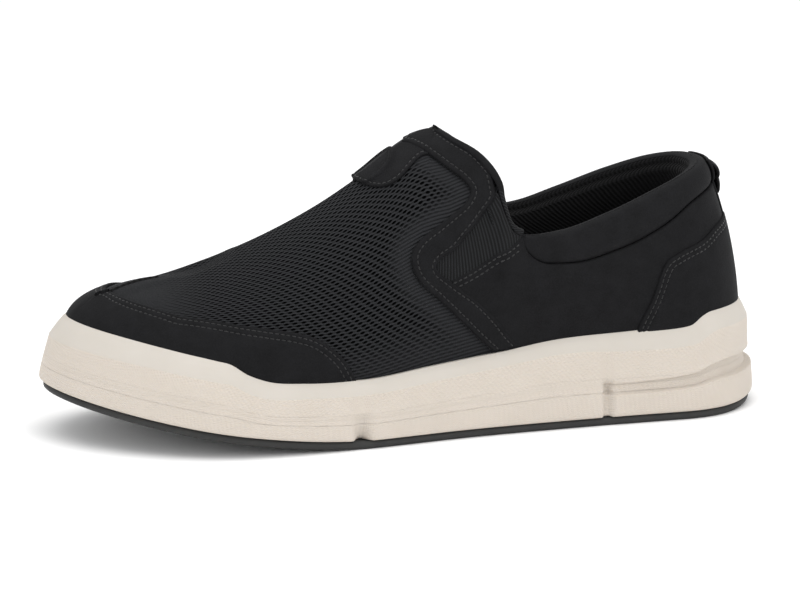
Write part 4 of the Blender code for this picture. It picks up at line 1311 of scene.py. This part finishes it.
def makeVamp():
    s = vampSettings
    rings = np.linspace(-s["end"], s["end"], s["columns"] + 1)
    ring, up = np.meshgrid(rings, spaced(s["rows"]), indexing="ij")
    points = wall(ring, up, s["seat"] + s["thick"])
    along, across = knitMap(np.abs(ring), up)
    uv = np.stack([along, across * knitSettings["ribs"] * np.where(ring < 0, -1, 1)], axis=-1)
    points = evenToe(points)
    # Holes are widest over the instep and close towards the toe guard, the rim and the band.
    edge = skin(*sideEdge(bandFront, np.linspace(0.05, 1, 80)))
    fromBand = np.minimum(farFrom(points, edge), farFrom(points, edge * [1, -1, 1]))
    openness = step(points[..., 0], *s["closedToe"]) * step(across, *s["closedRim"])
    openness = openness * step(fromBand, *s["closedBand"])
    piece = gridPiece("knit_vamp", points, [knit], uv=uv, openness=openness)
    thicken(piece, s["thick"])
    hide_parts("upper")


makeVamp()
print("scene: wall and vamp made")


def edgeUp(table, ring, start=0.0, end=1.0, beyond=None):
    rings, ups = sideEdge(table, np.linspace(start, end, 80))
    order = np.argsort(rings)
    return np.interp(ring, rings[order], ups[order], right=beyond)


def between(rings, low, high, count):  # a sheet of places between two edges
    share = spaced(count)
    up = low[:, None] + (high - low)[:, None] * share
    return rings[:, None] + 0 * up, up


stitches = []  # paths of all the stitch rows, made into a piece at the end


def sewn(name, sheet, settings, material, flip=False):  # a panel with its thickness and stitch rows
    piece = gridPiece(name, sheet["points"], [material], flip=flip)
    thicken(piece, settings["depth"])
    outwardAt = nearestNormal(sheet)
    stitches.extend((rowPath(sheet, edge, inset), outwardAt) for edge, inset in settings["rows"])
    return piece


# Toe guard: its top edge is folded and sewn down with two rows.
guardSettings = {
    "columns": 300, "rowsUp": 56, "under": 4 * mm,
    "seat": 0.5 * mm, "thick": 1.25 * mm, "roll": 1.1 * mm, "groove": 0.28 * mm, "depth": 1.1 * mm,
    "rows": (("high", 1.7 * mm), ("high", 3.9 * mm)),
}


def makeGuard():
    s = guardSettings
    rings = np.linspace(-guardEnd - 0.006, guardEnd + 0.006, s["columns"] + 1)
    low = rimUp(rings, -s["under"])
    high = np.maximum(guardTable("up", np.abs(rings)), low + 0.004)
    ring, up = between(rings, low, high, s["rowsUp"])
    sheet = panelSheet(ring, up, s, ("high",))
    sheet["points"] = evenToe(sheet["points"])
    piece = sewn("toe_guard", sheet, s, nubuck)
    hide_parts("toe_guard")


makeGuard()
print("scene: toe guard made")


# Throat patch with a plain raised oval in the middle, where such shoes carry a badge.
patchSettings = {
    "columns": 90, "across": 90, "back": 0.510,
    "seat": 0.5 * mm, "thick": 1.1 * mm, "roll": 0.9 * mm, "groove": 0.25 * mm, "depth": 0.9 * mm,
    "rows": (("low", 1.5 * mm), ("high", 1.5 * mm)),
    "ovalStation": 0.545, "ovalLength": 21 * mm, "ovalWidth": 18 * mm,
    "ovalLine": 1.3 * mm, "ovalHeight": 1.1 * mm,
}


def makePatch():
    s = patchSettings
    rings = np.linspace(patchTip, s["back"], s["columns"] + 1)
    low = np.where(rings > patchBack, patchTable("up", patchBack), patchTable("up", rings))
    side = np.linspace(-1, 1, s["across"] + 1)
    up = 1 - (1 - low)[:, None] * np.abs(side)
    ring = rings[:, None] * np.where(side < 0, -1, 1) + 0 * up
    bare = face(ring, up)
    centre = ridgePoint(s["ovalStation"])
    along = ridgeDirection(s["ovalStation"])
    a = (bare - centre) @ along / (s["ovalLength"] / 2)
    b = (bare - centre)[..., 1] / (s["ovalWidth"] / 2)
    round_ = np.sqrt(a * a + b * b)
    off = (round_ - 1) * s["ovalWidth"] / 2
    line = smooth((s["ovalLine"] - np.abs(off)) / (0.6 * s["ovalLine"]))
    lift = s["ovalHeight"] * (line + 0.25 * smooth(-off / s["ovalLine"]))
    sheet = panelSheet(ring, up, s, ("low", "high"), lift)
    piece = sewn("throat_patch", sheet, s, nubuckCuff, flip=True)
    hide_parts("throat_patch")


makePatch()
print("scene: throat patch made")


# Elastic gores between the throat band and the quarters.
goreSettings = {"along": 150, "across": 60, "seat": 0.45 * mm, "thick": 0.8 * mm, "tuck": 0.10}


def makeGores():
    s = goreSettings
    share = np.linspace(0, 1, s["along"] + 1)
    upper = sideEdge(bandBack, 0.68 - share * 0.37)
    lower = sideEdge(quarterTable, share)
    across = np.linspace(-s["tuck"], 1 + s["tuck"], s["across"] + 1)
    ring = lower[0][:, None] + (upper[0] - lower[0])[:, None] * across
    up = np.clip(lower[1][:, None] + (upper[1] - lower[1])[:, None] * across, 0, 0.998)
    for name, side in (("gore_lateral", 1), ("gore_medial", -1)):
        points = face(side * ring, up, s["seat"] + s["thick"])
        piece = gridPiece(name, points, [elasticBand], flip=side < 0)
        thicken(piece, s["thick"])
        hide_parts(name)


makeGores()
print("scene: gores made")


# Quarters, one piece of nubuck round the heel, which runs on under the band and the counter.
quarterSettings = {
    "columns": 380, "rowsUp": 64, "under": 4 * mm,
    "seat": 0.5 * mm, "thick": 1.2 * mm, "roll": 1.0 * mm, "groove": 0.25 * mm, "depth": 1.1 * mm,
    "rows": (), "cuffRows": (1.6 * mm, 3.6 * mm),
}


def makeQuarters():
    s = quarterSettings
    half = np.linspace(quarterFront, 1, s["columns"] // 2 + 1)
    share = np.linspace(0.69, 1, 60)
    front, back = sideEdge(bandFront, share), sideEdge(bandBack, share)
    armRing, armUp = (front[0] + back[0]) / 2, (front[1] + back[1]) / 2
    order = np.argsort(armRing)
    arm = np.interp(half, armRing[order], armUp[order], right=0)
    low = np.maximum(arm, rimUp(half, -s["under"]))
    high = np.where(half > cuffFront, seamTable("up", half), edgeUp(quarterTable, half))
    high = np.maximum(high - 0.002, low + 0.002)
    rings = np.concatenate([half, 2 - half[-2::-1]])
    low, high = np.concatenate([low, low[-2::-1]]), np.concatenate([high, high[-2::-1]])
    ring, up = between(rings, low, high, s["rowsUp"])
    sheet = panelSheet(ring, up, s, ("high",))
    piece = sewn("quarters", sheet, s, nubuck)
    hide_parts("quarter_lateral")
    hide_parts("quarter_medial")
    # Two rows beside the elastic, only as far as the cuff.
    outwardAt = nearestNormal(sheet)
    count = int(np.sum(half < cuffFront - 0.012))
    for start, stop in ((0, count), (len(rings) - count, len(rings))):
        high = sheet["distance"]["high"][start:stop]
        part = {"points": sheet["points"][start:stop], "distance": {"high": high}}
        for inset in s["cuffRows"]:
            stitches.append((rowPath(part, "high", inset), outwardAt))


makeQuarters()
print("scene: quarters made")


# Throat band, which goes round the throat and down both sides to the rim.
bandSettings = {
    "columns": 420, "across": 30, "under": 3 * mm,
    "seat": 0.95 * mm, "thick": 1.35 * mm, "roll": 1.2 * mm, "groove": 0.30 * mm, "depth": 1.5 * mm,
    "rows": (("low", 2.3 * mm), ("high", 2.0 * mm)), "crown": 14, "foldRun": 0.25,
}


def makeBand():
    s = bandSettings
    half = s["columns"] // 2
    share = np.linspace(bandFrontRows[0][0], 1.0, half + 1)
    front, back = sideEdge(bandFront, share), sideEdge(bandBack, share)
    start = np.linspace(0, 1, s["crown"], endpoint=False)
    ahead = (poleStation - bandStart) / (poleStation - throatStation)
    bandRing = ringPole + (ringThroat - ringPole) * ahead

    def whole(edge, first):
        rings = np.concatenate([first + (edge[0][0] - first) * start, edge[0]])
        ups = np.concatenate([1 + (edge[1][0] - 1) * start, edge[1]])
        return rings, ups

    frontRing, frontUp = whole(front, bandRing)
    backRing, backUp = whole(back, ringThroat)
    run = np.concatenate([start * share[0], share])
    backUp = backUp + (1 - backUp) * (1 - smooth((run - s["foldRun"]) / 0.06))
    across = spaced(s["across"])
    ring = frontRing[:, None] + (backRing - frontRing)[:, None] * across
    up = frontUp[:, None] + (backUp - frontUp)[:, None] * across
    ring = np.concatenate([-ring[:0:-1], ring])
    up = np.concatenate([up[:0:-1], up])
    up = np.maximum(up, rimUp(ring, -s["under"]))
    folded = np.concatenate([run[:0:-1], run]) < s["foldRun"]
    sheet = panelSheet(ring, up, s, ("low", "high"), folded=folded)
    piece = sewn("throat_band", sheet, s, nubuck)
    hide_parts("throat_band")


# Fold over the throat's edge, of nubuck on the band and of elastic on the gores.
foldSettings = {
    "columns": 260, "rows": 14, "bandProud": 2.25 * mm, "goreProud": 1.2 * mm, "inside": 0.8 * mm,
    "down": 6 * mm, "bandEnd": 0.172, "fade": 0.006, "overrun": 0.012, "smoothing": 60,
    "depth": 0.5 * mm,
}


def makeFold():
    s = foldSettings
    side = np.linspace(-1, 1, s["columns"] + 1)
    end = (cuffFront - ringThroat) / (1 - ringThroat) + s["overrun"]
    run = np.abs(side) * end
    sign = np.where(side < 0, -1, 1)
    rings = sign * (ringThroat + run * (1 - ringThroat))
    top = skin(rings, 1.0)
    normal = skinNormal(rings, np.where(run < 0.004, 1.0, 0.985))
    for _ in range(s["smoothing"]):
        normal[1:-1] = unit(normal[1:-1] * 2 + normal[:-2] + normal[2:])
        top[1:-1] = (top[1:-1] * 6 + top[:-2] + top[2:]) / 8
    along = unit(np.gradient(top, axis=0))
    edge = unit(np.cross(normal, along))
    edge = edge * np.where(edge[len(edge) // 2, 0] > 0, -1, 1)
    onBand = step(run, s["bandEnd"] + s["fade"], s["bandEnd"] - s["fade"])
    proud = s["goreProud"] + (s["bandProud"] - s["goreProud"]) * onBand
    radius = (proud + wallThick + s["inside"]) / 2
    centre = top + normal * (proud - radius)[:, None]
    lines = [centre + normal * radius[:, None] * 0.98 - edge * 1.2 * mm]
    for turn in np.linspace(0, math.pi, s["rows"]):
        over = edge * (radius * 0.8 * math.sin(turn))[:, None]
        lines.append(centre + normal * (radius * math.cos(turn))[:, None] + over)
    for drop in (0.5, 1.0):
        lines.append(lines[s["rows"]] - edge * s["down"] * drop)
    points = np.stack(lines, axis=1)
    edgeColumn = s["bandEnd"] / end
    middle = s["columns"] / 2
    piece = gridPiece("throat_fold", points, [nubuck, elasticBand], flip=True,
                      pickMaterial=lambda i, j: 0 if abs(i - middle) < edgeColumn * middle else 1)
    thicken(piece, s["depth"])


makeBand()
makeFold()
print("scene: throat band made")


# Padded cuff: it swells out of its seam, rolls over the top and goes a little way down inside.
cuffSettings = {
    "columns": 360, "rowsOut": 22, "rowsRoll": 16, "seat": 0.3 * mm,
    "rollFront": 1.3 * mm, "rollBack": 2.7 * mm, "rollTurn": 118, "fill": 0.8, "depth": 0.8 * mm,
    "overrun": 0.006, "liningRows": 44, "liningFill": 0.8,
}


def cuffRoll(rings):  # radius of the roll
    s = cuffSettings
    share = step(1 - np.abs(1 - rings), cuffFront - 0.02, 0.72)
    return s["rollFront"] + (s["rollBack"] - s["rollFront"]) * share


def cuffRings():
    s = cuffSettings
    return np.linspace(cuffFront - s["overrun"], 2 - cuffFront + s["overrun"], s["columns"] + 1)


def makeCuff():
    s = cuffSettings
    rings = cuffRings()
    seam = seamTable("up", 1 - np.abs(1 - rings))
    radius = cuffRoll(rings)
    high = np.linalg.norm(skin(rings, 1.0) - skin(rings, seam), axis=-1)
    last = np.clip(1 - radius / high * (1 - seam), seam + 0.25 * (1 - seam), 1)
    share = spaced(s["rowsOut"])
    up = seam[:, None] + (last - seam)[:, None] * share
    ring = rings[:, None] + 0 * up
    out = face(ring, up, s["seat"] + 0.5 * mm * np.sin(math.pi * np.clip(share * 2, 0, 0.5)))
    normal = skinNormal(rings, last)
    rising = unit(skin(rings, 1.0) - skin(rings, last))
    bulge = np.sum((out[:, -1] - skin(rings, last)) * normal, axis=-1)
    centre = skin(rings, last) - normal * radius[:, None]
    roll = []
    for turn in np.linspace(0, math.radians(s["rollTurn"]), s["rowsRoll"] + 1)[1:]:
        wide = radius + np.where(math.cos(turn) > 0, bulge, 0)
        over = rising * (radius * math.sin(turn))[:, None]
        roll.append(centre + normal * (wide * math.cos(turn))[:, None] + over)
    roll.append(centre + (roll[-1] - centre) * 0.7)
    points = np.concatenate([out, np.stack(roll, axis=1)], axis=1)
    piece = gridPiece("collar_cuff", points, [nubuckCuff])
    thicken(piece, s["depth"])
    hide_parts("collar_lining")
    return centre, normal, rising, radius


def makeLining():
    s = cuffSettings
    centre, normal, rising, radius = cuffEdge
    small = (radius - 0.15 * mm)[:, None]
    roll = [centre + normal * small * math.cos(turn) + rising * small * math.sin(turn)
            for turn in np.radians(np.linspace(104, 180, 8))]
    edge = roll[-1]
    rings = cuffRings()
    share = spaced(s["liningRows"])
    up = 1 + (liningFoot - 1) * share[None, :] + 0 * rings[:, None]
    ring = rings[:, None] + 0 * up
    fade = np.clip((1 - liningStart - np.abs(1 - ring)) / liningFade, 0, 1)
    thick = liningHem + (liningThick - liningHem) * np.sin(math.pi * share**liningSwell) * np.sqrt(fade)
    points = wall(ring, up, -(wallThick + fitGap + thick))
    # The top of the lining runs into the cuff's inner edge.
    blend = 1 - smooth(share / 0.22)
    below = edge[:, None] + (points - points[:, :1])
    points = points * (1 - blend[None, :, None]) + below * blend[None, :, None]
    points = np.concatenate([np.stack(roll[:-1], axis=1), points], axis=1)
    piece = gridPiece("collar_lining", points, [liningRib])
    thicken(piece, s["depth"])
    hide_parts("collar_lining")


cuffEdge = makeCuff()
makeLining()
print("scene: cuff and lining made")


# Heel counter, back strip and pull loop.
counterSettings = {
    "columns": 260, "rowsUp": 50, "under": 4 * mm,
    "seat": 1.75 * mm, "thick": 1.15 * mm, "roll": 1.1 * mm, "groove": 0.28 * mm, "depth": 1.0 * mm,
    "rows": (("high", 1.7 * mm), ("high", 3.7 * mm)),
}
stripSettings = {
    "columns": 36, "rowsUp": 60, "under": 0.02,
    "seat": 1.55 * mm, "thick": 0.9 * mm, "roll": 0.8 * mm, "groove": 0.2 * mm, "depth": 0.9 * mm,
    "rows": (),
}
loopSettings = {
    "columns": 24, "rowsUp": 44, "seat": 1.5 * mm, "round": 0.4 * mm, "reach": 2.2 * mm, "lower": 0.04,
}


def makeCounter():
    s = counterSettings
    rings = np.linspace(counterStart - 0.008, 2 - counterStart + 0.008, s["columns"] + 1)
    low = rimUp((rings + 1) % 2 - 1, -s["under"])
    high = np.maximum(counterTable("up", 1 - np.abs(rings - 1)), low + 0.003)
    ring, up = between(rings, low, high, s["rowsUp"])
    sheet = panelSheet(ring, up, s, ("high",))
    piece = sewn("heel_counter", sheet, s, nubuck)
    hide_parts("heel_counter")


def makeStrip():
    s = stripSettings
    half = stripWidth / 2 / ringLength
    rings = np.linspace(1 - half, 1 + half, s["columns"] + 1)
    low = np.full(rings.shape, float(counterTable("up", 1.0)) - s["under"])
    ring, up = between(rings, low, np.full(rings.shape, stripTop - 0.02), s["rowsUp"])
    sheet = panelSheet(ring, up, s, ("start", "end", "high"))
    piece = sewn("heel_strip", sheet, s, nubuck)
    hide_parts("heel_strip")


def makeLoop():
    s = loopSettings
    half = loopWidth / 2 / ringLength
    reach = 0.1
    drop = reach * loopHeight / np.linalg.norm(skin(1.0, loopTop) - skin(1.0, loopTop - reach))
    rings = np.linspace(1 - half, 1 + half, s["columns"] + 1)
    top = loopTop - s["lower"]
    ring, up = between(rings, np.full(rings.shape, top - drop), np.full(rings.shape, top), s["rowsUp"])
    share = (top - up) / drop
    side = np.abs(np.linspace(-1, 1, s["columns"] + 1))[:, None]
    arch = s["reach"] * np.sin(math.pi * share).clip(0, 1) ** 0.6
    proud = s["seat"] + arch + loopThick - s["round"] * side**8
    piece = gridPiece("pull_loop", face(ring, up, proud), [webbing])
    thicken(piece, loopThick * 0.8)
    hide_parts("pull_loop")


makeCounter()
makeStrip()
makeLoop()
print("scene: heel made")

stitchRows("stitching", stitches)
print("scene: stitches made")


# Floor, light and camera.
def makeFloor():
    work = bmesh.new()
    bmesh.ops.create_grid(work, x_segments=1, y_segments=1, size=12.0)
    mesh = bpy.data.meshes.new("floor")
    work.to_mesh(mesh)
    work.free()
    paper = newMaterial("white paper", {
        "Base Color": hexColour("ffffff"), "Roughness": 0.9, "IOR": 1.45, "Specular IOR Level": 0.1,
    })[0]
    mesh.materials.append(paper)
    floor = bpy.data.objects.new("floor", mesh)
    bpy.context.scene.collection.objects.link(floor)


def addLight(name, place, aim, size, power):
    light = bpy.data.lights.new(name, "AREA")
    light.shape = "RECTANGLE"
    light.size, light.size_y = size
    light.energy = power
    lamp = bpy.data.objects.new(name, light)
    bpy.context.scene.collection.objects.link(lamp)
    lamp.location = place
    lamp.rotation_euler = (Vector(aim) - Vector(place)).to_track_quat("-Z", "Y").to_euler()


makeFloor()
world = bpy.data.worlds.new("white studio")
bpy.context.scene.world = world
world.use_nodes = True
world.node_tree.nodes["Background"].inputs["Color"].default_value = (1, 1, 1, 1)
world.node_tree.nodes["Background"].inputs["Strength"].default_value = 0.85
addLight("top softbox", (0.1, 0.2, 1.6), (0, 0, 0), (1.6, 1.2), 13)
addLight("side softbox", (-1.0, 1.3, 0.9), (0, 0, 0.04), (1.2, 0.9), 7)
addLight("front softbox", (1.1, 0.9, 0.5), (0.05, 0, 0.04), (0.8, 0.6), 3)

cameraSettings = {
    "target": (0, -0.0002, 0.05), "back": (0.2693, 0.9392, 0.2130), "distance": 1.6, "lens": 175.7,
    "shift": (-0.0056, -0.00375),
}
eye = Vector(cameraSettings["target"]) + Vector(cameraSettings["back"]) * cameraSettings["distance"]
camera = bpy.data.cameras.new("camera")
camera.lens = cameraSettings["lens"]
camera.sensor_width = 36
camera.shift_x, camera.shift_y = cameraSettings["shift"]
viewer = bpy.data.objects.new("camera", camera)
bpy.context.scene.collection.objects.link(viewer)
viewer.location = eye
viewer.rotation_euler = (-Vector(cameraSettings["back"])).to_track_quat("-Z", "Y").to_euler()
bpy.context.scene.camera = viewer
bpy.context.scene.view_settings.view_transform = "Standard"
